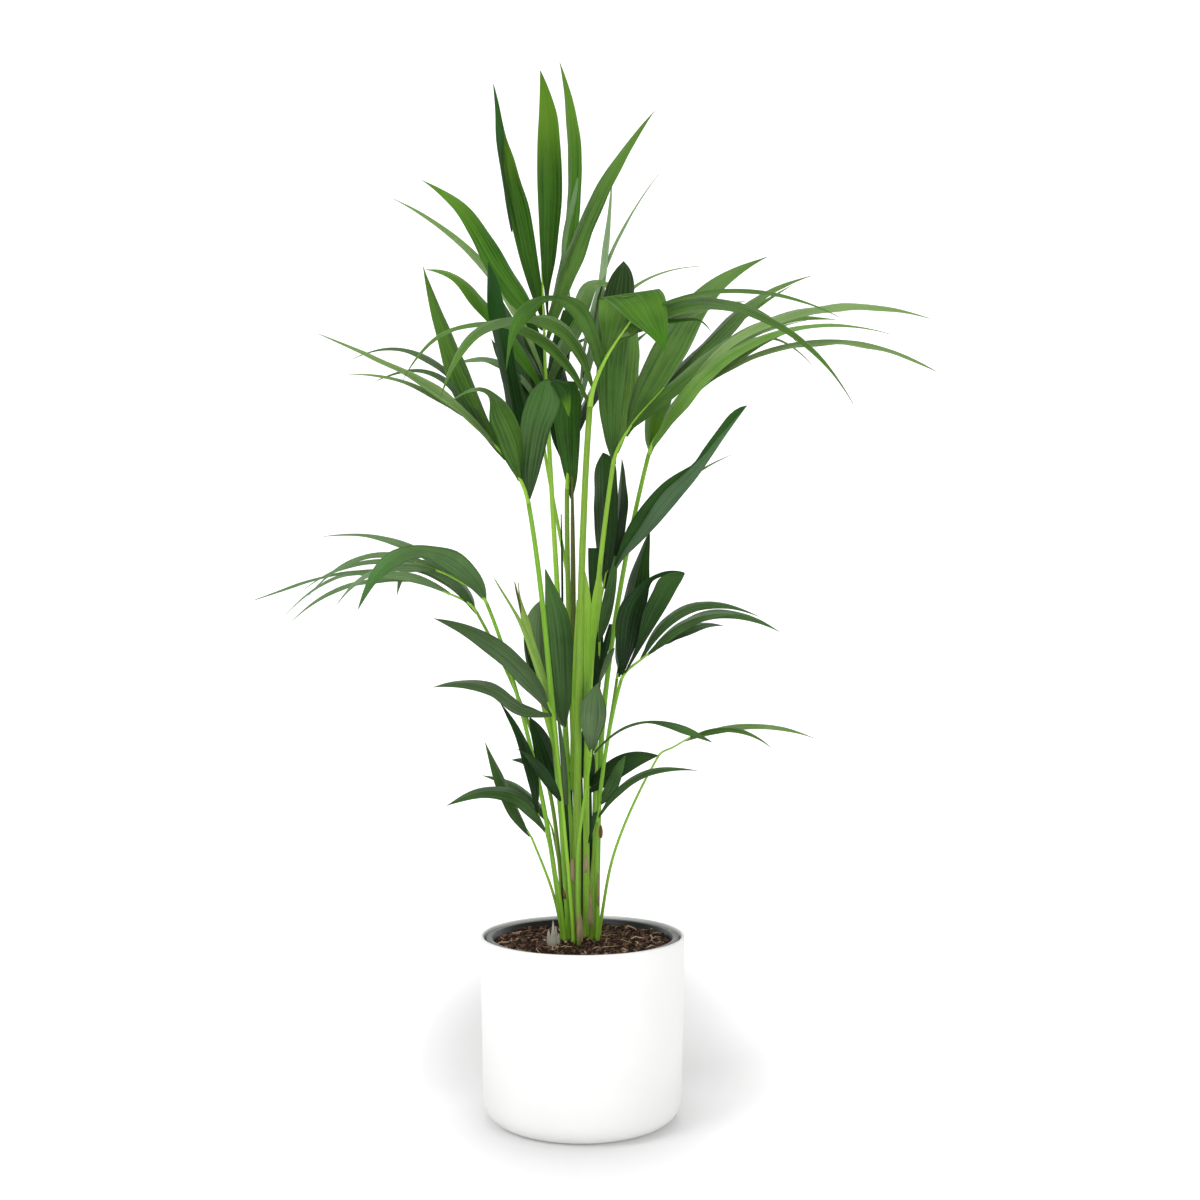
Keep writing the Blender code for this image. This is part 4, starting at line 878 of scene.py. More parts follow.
# Blades that are seen clearly enough to be given by their two edges, as points
# of the photo from foot to tip. backs: centimetres behind the pot's axis at the
# foot and at the tip. tilt: degrees that the right edge lies farther back.
DRAWN = {
    ("top", 3): [
        dict(left=[(544, 326), (538, 312), (532, 297), (527.5, 284), (520, 260), (512.5, 230), (505.6, 200), (500.5, 170), (496, 140), (495, 110), (493, 84.5)],
             right=[(546, 326), (545, 312), (543.4, 296), (541.6, 284), (538, 260), (533.5, 230), (529, 206), (520, 179), (514, 158), (506.5, 138), (502.6, 122), (499, 104), (493.8, 84.5)],
             backs=(7.1, 13), tilt=-14, fold=0.34, tint="forest"),
    ],
    ("top", 4): [
        dict(left=[(547, 318), (545.6, 306), (544.6, 294.5), (542.5, 278), (540.4, 254), (538.6, 218), (537, 170), (537.4, 140), (539, 110), (540, 71)],
             right=[(548.6, 318), (548.4, 306), (549, 294), (550.6, 284), (554.5, 266), (559, 230), (562, 200), (562, 170), (560, 140), (557.5, 116), (550, 92), (540.8, 71)],
             backs=(7.2, 8), tilt=10, fold=0.30, tint="forest"),
    ],
    ("front", 3): [
        dict(left=[(605.5, 359), (601.5, 338), (598.8, 318), (599, 299)],
             right=[(606.5, 359), (619, 345), (637, 325), (657, 293)],
             backs=(-10.4, -18.0), tilt=6, fold=0.10, tint="moss"),
        dict(left=[(599, 300), (600.5, 297), (605, 300), (617.5, 309.6), (630, 321.4), (648, 335), (664.3, 351)],
             right=[(657, 293), (658, 288.5), (662.5, 292), (666.5, 303), (668, 318), (667, 335), (665, 351)],
             backs=(-18.1, -20.6), tilt=5, fold=-0.12, tint="flap"),
    ],
    ("left", 0): [
        dict(left=[(529, 499), (520.5, 480), (519.4, 440), (524, 408), (534, 388), (545, 379.2)],
             right=[(530.5, 499), (537, 480), (544, 455), (551, 428), (559, 411), (562, 400), (556, 387), (549, 379.5)],
             backs=(-5.2, -9.6), tilt=-16, fold=0.10, tint="slate"),
        dict(left=[(545, 379.6), (552, 386), (558, 396), (563.5, 406), (568.4, 416.5)],
             right=[(547, 379), (559, 380), (570, 384.5), (571, 399), (569.2, 416.5)],
             backs=(-9.4, -10.4), tilt=14, fold=0.12, tint="leek"),
    ],
    ("right_mid", 0): [
        dict(left=[(621.5, 675), (616.5, 650), (616.5, 617), (622, 602), (637, 587), (653, 575.6), (668, 570.8), (684, 572.2)],
             right=[(623, 675), (634, 648), (643.5, 609), (648, 592), (653, 581), (661, 577), (672, 574.4), (684.6, 573)],
             backs=(-2.6, -8), tilt=24, fold=0.30, tint="ink"),
    ],
    ("right_mid", 1): [
        dict(left=[(624, 673), (636, 645), (645, 607), (653, 590.5), (658.8, 579), (668, 573.4), (683, 572.4)],
             right=[(626, 673), (640, 650), (655, 626), (668.5, 604), (677.3, 588), (683, 578), (685, 573.6)],
             backs=(-2.9, -12), tilt=20, fold=0.30, tint="pine"),
    ],
    # painted shade and painted reflection: this folded leaflet is drawn as two halves, the upper one in the dark night
    # tint for its shaded half, the lower one in the pale sheen tint for its lit, reflecting half
    ("big_right", 0): [
        dict(left=[(608, 583), (618, 552), (628, 526.5), (638, 511), (650, 496), (666, 480.5), (682, 470.5), (691, 465.5), (704, 448), (718, 429), (730, 414), (738, 408), (746.6, 405.4)],
             right=[(610, 580), (622, 554), (640, 528), (652, 508), (666, 490), (680, 478), (692, 466.4), (704, 455), (718, 438), (730, 424), (747, 405.6)],
             backs=(5.0, -5.0), tilt=-30, fold=0.12, tint="night"),
        # the lower half: painted reflection in the sheen tint
        dict(left=[(608.6, 583), (621.8, 554), (639.8, 528), (651.8, 508), (665.8, 490), (679.8, 478), (691.8, 466.4), (703.8, 455), (717.8, 438), (729.8, 424), (747, 405.6)],
             right=[(611, 583), (622, 561), (640, 543), (656, 526.5), (670, 510.5), (682, 496), (696, 479), (712, 456), (724, 438), (736, 421), (747, 406)],
             backs=(5.0, -5.0), tilt=30, fold=0.12, tint="sheen"),
    ],
    ("low_centre", 0): [
        dict(left=[(591, 754.5), (583.2, 735), (580.5, 717), (583.2, 699), (590, 690.5), (597.6, 683)],
             right=[(592.4, 754.5), (599.4, 738), (605.6, 721.6), (606.4, 708.8), (602.4, 695), (598.4, 683)],
             backs=(-6.4, -8), tilt=14, fold=0.16, tint="dusk"),
    ],
    ("left_mid_upper", 0): [
        dict(left=[(486.5, 600), (485, 585), (474, 566), (458, 551.6), (435.6, 546.4), (410, 545.6), (387.6, 553), (373, 569), (363.6, 590), (358, 609)],
             right=[(482.5, 600), (470.8, 588.6), (454.8, 577), (438.8, 566), (424.4, 558), (409, 561), (391, 571), (376.5, 583), (365, 599), (358.5, 609.4)],
             backs=(-6.5, -30), tilt=-12, fold=0.30, tint="fresh"),
    ],
    ("left_mid_lower", 1): [
        dict(left=[(450, 592.5), (435, 582.5), (415, 573.8), (390, 571.2), (367.5, 570), (342.5, 571.8), (320, 577), (297.5, 583.3), (275, 592), (255, 599.5)],
             right=[(450, 595.6), (425, 585.8), (400, 580.4), (375, 578), (357.5, 575.2), (342.5, 575.2), (312.5, 581.6), (287.5, 590), (255, 600.2)],
             backs=(9.5, 11), tilt=30, fold=0.30, tint="mist"),
    ],
    ("front", 2): [
        dict(left=[(601, 374), (594, 362), (591, 350), (587, 342), (581, 330), (576, 322), (570, 314), (564, 308), (558, 303), (552, 301), (546.6, 301.6), (541, 306), (534, 316), (528, 322), (520, 330), (514, 341), (509, 357), (506.4, 371)],
             right=[(604, 374), (604, 358), (600, 340), (596, 326), (591, 314), (584, 304), (576, 298.4), (568, 296), (558, 295.6), (546, 295.6), (536, 297.4), (526, 302), (517, 310), (512, 320), (509, 332), (507, 350), (506, 371)],
             backs=(-12.0, -31), tilt=-14, fold=0.30, tint="vine"),
    ],
    ("centre", 1): [
        dict(left=[(564.4, 727), (557, 712), (553, 690), (549, 660), (547, 640), (545.6, 620), (545, 600), (545, 584), (544.8, 569.4)],
             right=[(566, 727), (568.6, 714), (571.4, 698), (572.6, 680), (573.2, 660), (572.6, 640), (571, 626), (567.6, 612), (562, 600), (554, 584.4), (546, 569.4)],
             backs=(0.4, -0.9), tilt=10, fold=0.20, tint="jade"),
    ],
    ("low_centre", 1): [
        dict(left=[(593, 753), (603.5, 741.6), (618, 730), (632.5, 723.3), (647, 720.8), (670, 722), (687.6, 727), (702, 735), (712, 742)],
             right=[(596, 753), (608, 740.6), (621, 731.4), (632.5, 726.4), (647, 723.4), (667.3, 728), (681.8, 733.6), (698, 738.4), (712, 742.6)],
             backs=(-6.8, -15), tilt=26, fold=0.30, tint="slate"),
    ],
    ("low_dark", 0): [
        dict(left=[(560, 802), (543, 783), (531, 765), (521, 752), (511.6, 746)],
             right=[(561.6, 800), (556, 783), (545, 766), (531, 755), (518, 749), (512, 746.6)],
             backs=(-6.5, -9), tilt=-20, fold=0.30, tint="ink"),
    ],
    ("back_mid", 0): [
        dict(left=[(570.4, 499), (563, 471), (556.5, 440), (553.6, 415), (556, 396), (566, 381)],
             right=[(572, 499), (576, 485), (578.8, 458), (580.6, 422), (580.6, 396), (575, 381.6)],
             backs=(11.5, 15), tilt=-10, fold=0.34, tint="pond"),
    ],
    ("spear", 0): [
        dict(left=[(547, 722), (541, 694), (534.6, 669.2), (529, 652.4), (523.4, 635.6), (516.4, 618.8), (508, 603.4), (499.6, 589.4), (493.7, 578.2)],
             right=[(550, 722), (547.2, 686), (541.6, 669.2), (536, 655.2), (531.8, 644), (526.2, 630), (520.6, 618.8), (513.6, 607.6), (503.8, 592.2), (494.5, 578.2)],
             backs=(-1.8, -4), tilt=30, fold=0.40, tint="reed"),
    ],
    ("spear", 1): [
        dict(left=[(547, 722), (541, 690), (533, 660), (527, 640), (521.5, 622), (519, 603.4), (518.3, 592.2), (518.0, 582.6)],
             right=[(553, 722), (549, 690), (544.4, 670.6), (538.8, 652.4), (533.2, 635.6), (529.7, 621.6), (524.8, 609), (520.6, 596.4), (518.8, 582.6)],
             backs=(-1.4, -3), tilt=34, fold=0.40, tint="reed"),
        dict(left=[(528, 655), (524, 634), (520.6, 616), (518.2, 603.4), (515.7, 592.2), (514.2, 581.7)],
             right=[(532, 655), (527, 634), (523.4, 616), (520.8, 603.4), (518, 592.2), (515, 581.7)],
             backs=(-2.0, -3.4), tilt=34, fold=0.30, tint="bark"),
    ],
}

# Sheaths, torn strips and dry scales along the stalks, and dark blades and strips of painted shade among them, given
# the same way.
STRIPS = {
    "top": [
        dict(left=[(511, 232), (506, 206), (501.4, 172), (496, 140), (495, 110), (493, 84.5)],
             right=[(512.6, 232), (509, 204), (504, 166), (503.6, 128), (499.4, 108), (493.8, 84.5)],
             backs=(8.4, 12.2), tilt=-20, fold=0.3, tint="night"),
        dict(left=[(562, 268), (561.6, 244), (565, 222), (571, 200), (577, 178)],
             right=[(564.6, 268), (567, 244), (571.4, 222), (576, 202), (578.4, 178)],
             backs=(4.8, 3.2), tilt=-20, fold=0.3, tint="mist"),
    ],
    "front": [
        dict(left=[(581, 702), (579, 660), (578, 620), (580, 590), (582.6, 566)],
             right=[(586, 702), (589.4, 660), (591, 622), (590.6, 597), (587.4, 580), (583.6, 566)],
             backs=(-4.6, -6.0), tilt=20, fold=0.45, tint="sheath"),
        dict(left=[(569.5, 790), (571, 720), (573, 660), (576.5, 600)],
             right=[(578, 790), (578, 720), (578, 660), (578.6, 600)],
             backs=(-2.6, -5.4), tilt=-20, fold=0.45, tint="sheath"),
        dict(left=[(576, 925), (575, 905), (575.5, 884)],
             right=[(579, 925), (579, 905), (578, 884)],
             backs=(-2.7, -3.0), tilt=0, fold=0.6, tint="straw"),
        dict(left=[(577.6, 942), (576.8, 925), (579.6, 909.5)],
             right=[(582.6, 942), (582.6, 924), (580.4, 909.5)],
             backs=(-3.2, -3.1), tilt=0, fold=0.6, tint="straw"),
        dict(left=[(571, 882), (569.6, 870), (570.4, 859)],
             right=[(574.6, 882), (574.6, 870), (573.6, 859)],
             backs=(-3.1, -3.3), tilt=0, fold=0.6, tint="straw"),
        dict(left=[(584.6, 873), (584.2, 864), (585.2, 854)],
             right=[(587.4, 873), (588, 864), (586.4, 854)],
             backs=(-3.0, -3.1), tilt=0, fold=0.6, tint="straw"),
    ],
    "right_back": [
        dict(left=[(585.4, 705), (588.4, 650), (590.4, 610), (595.4, 582), (600, 563.5)],
             right=[(590, 705), (594.4, 650), (600.4, 612), (602.2, 590), (601.6, 575), (600.6, 563.5)],
             backs=(-0.8, 0.4), tilt=24, fold=0.40, tint="sheath"),
    ],
    # painted shade: two dark blades in the shade tint fill the shaded depth of the crown behind
    "back_left": [
        dict(left=[(545, 392), (532, 365), (523, 338), (520, 314)],
             right=[(549, 392), (546, 365), (541, 338), (530, 310)],
             backs=(12.4, 14.5), tilt=16, fold=0.3, tint="shade"),
        dict(left=[(549, 392), (552, 360), (556, 335), (563, 310)],
             right=[(553, 392), (566, 362), (574, 338), (578, 314)],
             backs=(12.4, 15), tilt=-16, fold=0.3, tint="shade"),
    ],
    "back_mid": [
        dict(left=[(569.6, 780), (570.8, 690), (570.8, 620), (570.6, 540), (571, 476)],
             right=[(576, 780), (576.4, 690), (576, 620), (575, 540), (573, 476)],
             backs=(2.6, 6.0), tilt=0, fold=0.5, tint="bark"),
        dict(left=[(561.4, 625), (561.0, 570), (560.6, 514)],
             right=[(563.4, 625), (563.2, 570), (561.6, 514)],
             backs=(4.6, 6.6), tilt=0, fold=0.3, tint="ink"),
        # painted shade: three dark strips in the ink tint fill the shaded gaps behind the stalks
        dict(left=[(561, 938), (561.6, 870), (563, 810), (566, 772)],
             right=[(569, 938), (570.6, 870), (572.6, 810), (572, 772)],
             backs=(1.4, 3.0), tilt=0, fold=0.3, tint="ink"),
        dict(left=[(577, 938), (577, 870), (577.6, 810), (579, 758)],
             right=[(584.6, 938), (584, 870), (583.4, 810), (582, 758)],
             backs=(1.4, 3.0), tilt=0, fold=0.3, tint="ink"),
        dict(left=[(587, 936), (587.4, 870), (588, 826), (589.4, 786)],
             right=[(593.4, 936), (593, 870), (592.4, 826), (591.4, 786)],
             backs=(1.8, 3.0), tilt=0, fold=0.3, tint="ink"),
    ],
    "spear": [
        dict(left=[(559.5, 795), (552.4, 748), (545, 722), (539.4, 698)],
             right=[(563, 795), (557, 750), (552.4, 726), (546, 706), (540.4, 698)],
             backs=(-2.4, -3.4), tilt=24, fold=0.45, tint="sheath"),
        dict(left=[(547, 708), (535, 680), (528, 660), (524.4, 640)],
             right=[(550, 706), (541, 680), (532, 655), (525.4, 640)],
             backs=(1.4, 0.8), tilt=30, fold=0.2, tint="ink"),
    ],
    "centre": [
        dict(left=[(563, 805), (560, 755), (557, 716)],
             right=[(568.4, 805), (566.4, 762), (562, 732), (558, 714)],
             backs=(-2.4, -2.8), tilt=20, fold=0.3, tint="dusk"),
    ],
    "big_right": [
        dict(left=[(592, 690), (592, 660), (591, 630), (590, 600), (588.6, 578), (588, 548)],
             right=[(600, 690), (603, 660), (603, 630), (600.6, 600), (599.6, 578), (600, 548)],
             backs=(4.2, 6.0), tilt=10, fold=0.3, tint="ink"),
        dict(left=[(598, 642), (599, 622), (603, 598), (609, 575), (614, 556)],
             right=[(599.6, 642), (610, 620), (614.5, 600), (616.8, 580), (617, 556)],
             backs=(3.0, 4.6), tilt=-20, fold=0.3, tint="slate"),
        dict(left=[(600, 676), (601, 656), (604, 640), (609, 624)],
             right=[(602, 676), (607, 656), (610.4, 640), (612, 624)],
             backs=(2.6, 4.0), tilt=20, fold=0.3, tint="ink"),
        dict(left=[(598.4, 684), (602.6, 666), (609, 652), (613.6, 648)],
             right=[(599.6, 684), (608.6, 666), (613.4, 654), (614.8, 648)],
             backs=(1.2, 0.6), tilt=30, fold=0.3, tint="dusk"),
    ],
    "low_right": [
        dict(left=[(588, 843), (590, 828), (593, 813)],
             right=[(589.8, 843), (594, 828), (597.4, 811)],
             backs=(-2.6, -3.2), tilt=20, fold=0.2, tint="ink"),
        dict(left=[(597.4, 906), (597.2, 890), (598, 873)],
             right=[(599.6, 906), (599.8, 890), (599, 873)],
             backs=(-1.6, -1.6), tilt=0, fold=0.5, tint="straw"),
        dict(left=[(599.4, 838), (599, 831), (600, 825)],
             right=[(602, 838), (602.8, 831), (601.4, 825)],
             backs=(-1.6, -1.6), tilt=0, fold=0.5, tint="russet"),
        dict(left=[(588.4, 925), (588.6, 908), (589.6, 893)],
             right=[(593, 925), (592.4, 908), (591, 893)],
             backs=(-2.4, -2.4), tilt=0, fold=0.5, tint="straw"),
    ],
    "low_left_c": [
        dict(left=[(564, 899), (562.6, 891), (564.4, 884)],
             right=[(567, 899), (567.4, 890), (565.4, 884)],
             backs=(-1.2, -1.2), tilt=0, fold=0.5, tint="russet"),
    ],
    "low_centre": [
        dict(left=[(547, 945), (546.9, 938), (548.2, 930)],
             right=[(550.6, 945), (550.2, 938), (548.9, 930)],
             backs=(-3.3, -3.2), tilt=-30, fold=0.4, tint="husk"),
        dict(left=[(549.6, 948), (550, 938), (551.6, 930), (552.7, 920.5)],
             right=[(555.4, 948), (555.2, 938), (554.5, 930), (553.4, 920.5)],
             backs=(-3.6, -3.4), tilt=-20, fold=0.5, tint="husk"),
        dict(left=[(553.8, 948), (554.4, 938), (555.2, 926)],
             right=[(558.2, 948), (557.6, 936), (555.9, 926)],
             backs=(-3.5, -3.2), tilt=30, fold=0.5, tint="husk"),
        dict(left=[(556.6, 946), (557.2, 939), (558.4, 933)],
             right=[(560.6, 946), (560, 939), (558.9, 933)],
             backs=(-3.3, -3.2), tilt=40, fold=0.4, tint="husk"),
    ],
}


def spot_at(px, py, back):
    """The place behind a point of the photo, in its pixels, this many centimetres behind the pot's axis."""
    return set_back((px - PHOTO_AXIS) * PIXEL, (PHOTO_GROUND - py) * PIXEL, back * CM)


def drawn_blade(pile, left, right, backs, tilt, fold, tint, under, seed, count=36, across_count=12):
    """A thin closed blade between its two seen edges, with a raised midrib, veins and slow waves."""
    rng = random.Random(seed)
    wave = rng.uniform(0, 40)
    thick = 0.028
    slot = ORDER.index(tint)
    edges = [evenly(passing([Vector((x, y, 0)) for x, y in side], 8), count) for side in (left, right)]
    tops, unders = [], []
    for i, (a, b) in enumerate(zip(*edges)):
        u = i / count
        half = (b - a).length * PIXEL / CM / 2
        depth = backs[0] + (backs[1] - backs[0]) * (0.85 * u + 0.15 * u * u)
        top, low = [], []
        for j in range(across_count + 1):
            s = -1 + 2 * j / across_count
            t = abs(s)
            spot = a.lerp(b, j / across_count)
            back = depth + half * s * math.tan(math.radians(tilt)) - half * fold * (1 - t)
            back += half * 0.22 * noise.noise(Vector((wave + s * 0.8, u * 4.0, 0.7)))
            back -= 0.030 * min(1.0, half) * (0.5 + 0.5 * math.cos(2 * math.pi * t * 3)) * (1 - 0.5 * t)
            back -= 0.06 * math.exp(-(t * half / 0.12) ** 2) * (1 - 0.8 * u)
            inner = 1.0 - t ** 6
            top.append(spot_at(spot.x, spot.y, back - thick * inner))
            low.append(spot_at(spot.x, spot.y, back + thick * inner))
        tops.append(top)
        unders.append(low)
    us = [j / across_count for j in range(across_count + 1)]
    vs = [i / count for i in range(count + 1)]
    middle = count // 2
    flip = (unders[middle][1] - tops[middle][1]).dot(
        (tops[middle][1] - tops[middle][0]).cross(tops[middle + 1][0] - tops[middle][0])) > 0
    pile.grid(tops, slot, (us, vs), flip=flip)
    pile.grid(unders, under, (us, vs), flip=not flip)
    weld_sides(pile, tops, unders, count, across_count, slot, flip)


def grow(name, sizes, finishes, stalks, number):
    line, rib = spine_fine(sizes)
    foot = sizes["thick"] / 1000
    neck = foot * STALK_TIP_SHARE
    stalk = Pile()
    count = len(line) - 1
    radii = []
    for i in range(count + 1):
        u = i / count
        flare = 0.35 * math.exp(-u * 9)
        radii.append((foot + (neck - foot) * u) * (1 + flare * 0.4))
    ribbed_tube(stalk, line, radii, 0, number * 1.7, 16, groove=0.30, flat=0.08)
    stalk.make(name + "_stem", [stalks[number % len(stalks)]], name + "_stalk")
    leaves = Pile()
    rib_radii = [neck + (RIB_END_RADIUS - neck) * (i / (len(rib) - 1)) ** 0.8 for i in range(len(rib))]
    ribbed_tube(leaves, rib, rib_radii, len(ORDER) + 1, number * 2.3, 12, groove=0.25, flat=0.1)
    tints = TINTS[name].split()
    for i, leaflet in enumerate(sizes["leaflets"]):
        seed = SEED + number * 40 + i
        if (name, i) in DRAWN:
            for k, drawn in enumerate(DRAWN[name, i]):
                drawn_blade(leaves, **drawn, under=len(ORDER), seed=seed + 2000 + k)
        else:
            tint = ORDER.index(tints[i % len(tints)])
            shape = SHAPES.get((name, i), {})
            under = ORDER.index(shape["under"]) if "under" in shape else len(ORDER)
            leaflet_mesh(leaves, rib, leaflet, tint, under, seed, shape)
    for k, drawn in enumerate(STRIPS.get(name, ())):
        drawn_blade(leaves, **drawn, under=ORDER.index(drawn["tint"]),
                    seed=SEED + 5000 + number * 20 + k)
    leaves.make(name + "_leaves", [finishes[k] for k in ORDER] + [finishes[UNDER], stalks[0]], name + "_frond")


# --------------------------------------------------------------------- pots

def turned_piece(name, outline, steps, finish, *nodes):
    pile = Pile()
    rows = []
    for i in range(steps):
        a = 2 * math.pi * i / steps
        rows.append([Vector((r * math.cos(a), r * math.sin(a), z)) for r, z in outline])
    rows.append(rows[0])
    mesh = bpy.data.meshes.new(name)
    points, faces = [], []
    wide = len(outline)
    closed = (Vector(outline[0]) - Vector(outline[-1])).length < 1e-7
    ring = wide - 1 if closed else wide
    poles = {}
    for i in range(steps):
        for j in range(ring):
            r, z = outline[j]
            if r < 1e-7:
                if j not in poles:
                    poles[j] = len(points)
                    points.append((0.0, 0.0, z))
                continue
            points.append(tuple(rows[i][j]))
    def at(i, j):
        j = j % ring
        if j in poles:
            return poles[j]
        return index[(i % steps, j)]
    index, k = {}, 0
    seen_poles = set()
    for i in range(steps):
        for j in range(ring):
            if outline[j][0] < 1e-7:
                if j not in seen_poles:
                    seen_poles.add(j)
                    poles[j] = k
                    k += 1
                continue
            index[(i, j)] = k
            k += 1
    for i in range(steps):
        for j in range(ring if closed else wide - 1):
            corners = [at(i, j), at(i, j + 1), at(i + 1, j + 1), at(i + 1, j)]
            tidy = [c for n, c in enumerate(corners) if c not in corners[:n]]
            if len(tidy) > 2:
                faces.append(tidy)
    mesh.from_pydata(points, [], faces)
    work = bmesh.new()
    work.from_mesh(mesh)
    bmesh.ops.recalc_face_normals(work, faces=work.faces)
    work.to_mesh(mesh)
    work.free()
    mesh.polygons.foreach_set("use_smooth", [True] * len(mesh.polygons))
    mesh.materials.append(finish)
    obj = bpy.data.objects.new(name, mesh)
    bpy.context.scene.collection.objects.link(obj)
    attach(obj, "root")
    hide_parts(*nodes)
    return obj


def arc(centre_r, centre_z, radius, start, end, count):
    turns = [math.radians(start + (end - start) * i / count) for i in range(count + 1)]
    return [(centre_r + radius * math.cos(a), centre_z + radius * math.sin(a)) for a in turns]


def pots():
    lip = PLANTER_WALL / 2
    inner = PLANTER_CORNER - PLANTER_WALL
    rim = arc(PLANTER_RIM_RADIUS - lip, PLANTER_HEIGHT - lip, lip, 180, 0, 12)
    wall = [(PLANTER_RIM_RADIUS + (PLANTER_FOOT_RADIUS - PLANTER_RIM_RADIUS) * i / 12,
             PLANTER_HEIGHT - lip + (PLANTER_CORNER - PLANTER_HEIGHT + lip) * i / 12) for i in range(1, 12)]
    corner = arc(PLANTER_FOOT_RADIUS - PLANTER_CORNER, PLANTER_CORNER, PLANTER_CORNER, 0, -90, 16)
    inside = arc(PLANTER_FOOT_RADIUS - PLANTER_CORNER, PLANTER_FLOOR + inner, inner, -90, 0, 12)
    outline = rim + wall + corner + [(0.0, 0.0), (0.0, PLANTER_FLOOR)] + inside + rim[:1]
    turned_piece("planter_shell", outline, 160, planter_finish(), "planter")

    def radius(z):
        low = PLANTER_FLOOR + 0.0003
        share = (z - low) / (NURSERY_RIM_Z - low)
        return NURSERY_FOOT_RADIUS + (NURSERY_RIM_RADIUS - NURSERY_RIM_WIDTH + NURSERY_WALL - NURSERY_FOOT_RADIUS) * share

    z, out, w = NURSERY_RIM_Z, NURSERY_RIM_RADIUS, NURSERY_WALL
    under = z - NURSERY_RIM_DROP
    low = PLANTER_FLOOR + 0.0003
    outline = [
        (radius(z) - w, z - 0.0005), (radius(z) - w + 0.0005, z),
        (out - 0.0009, z), (out - 0.0003, z - 0.0003), (out, z - 0.0009),
        (out, under), (out - w, under), (out - w, z - w),
        (radius(z - w), z - w), (radius(low + 0.004), low + 0.004),
        (radius(low) - 0.004, low), (0.0, low), (0.0, low + w),
        (radius(low) - 0.004 - w, low + w), (radius(low + 0.005) - w, low + 0.005),
        (radius(z) - w, z - 0.0005),
    ]
    turned_piece("nursery_shell", outline, 160, nursery_finish(), "nursery_pot")
    return radius


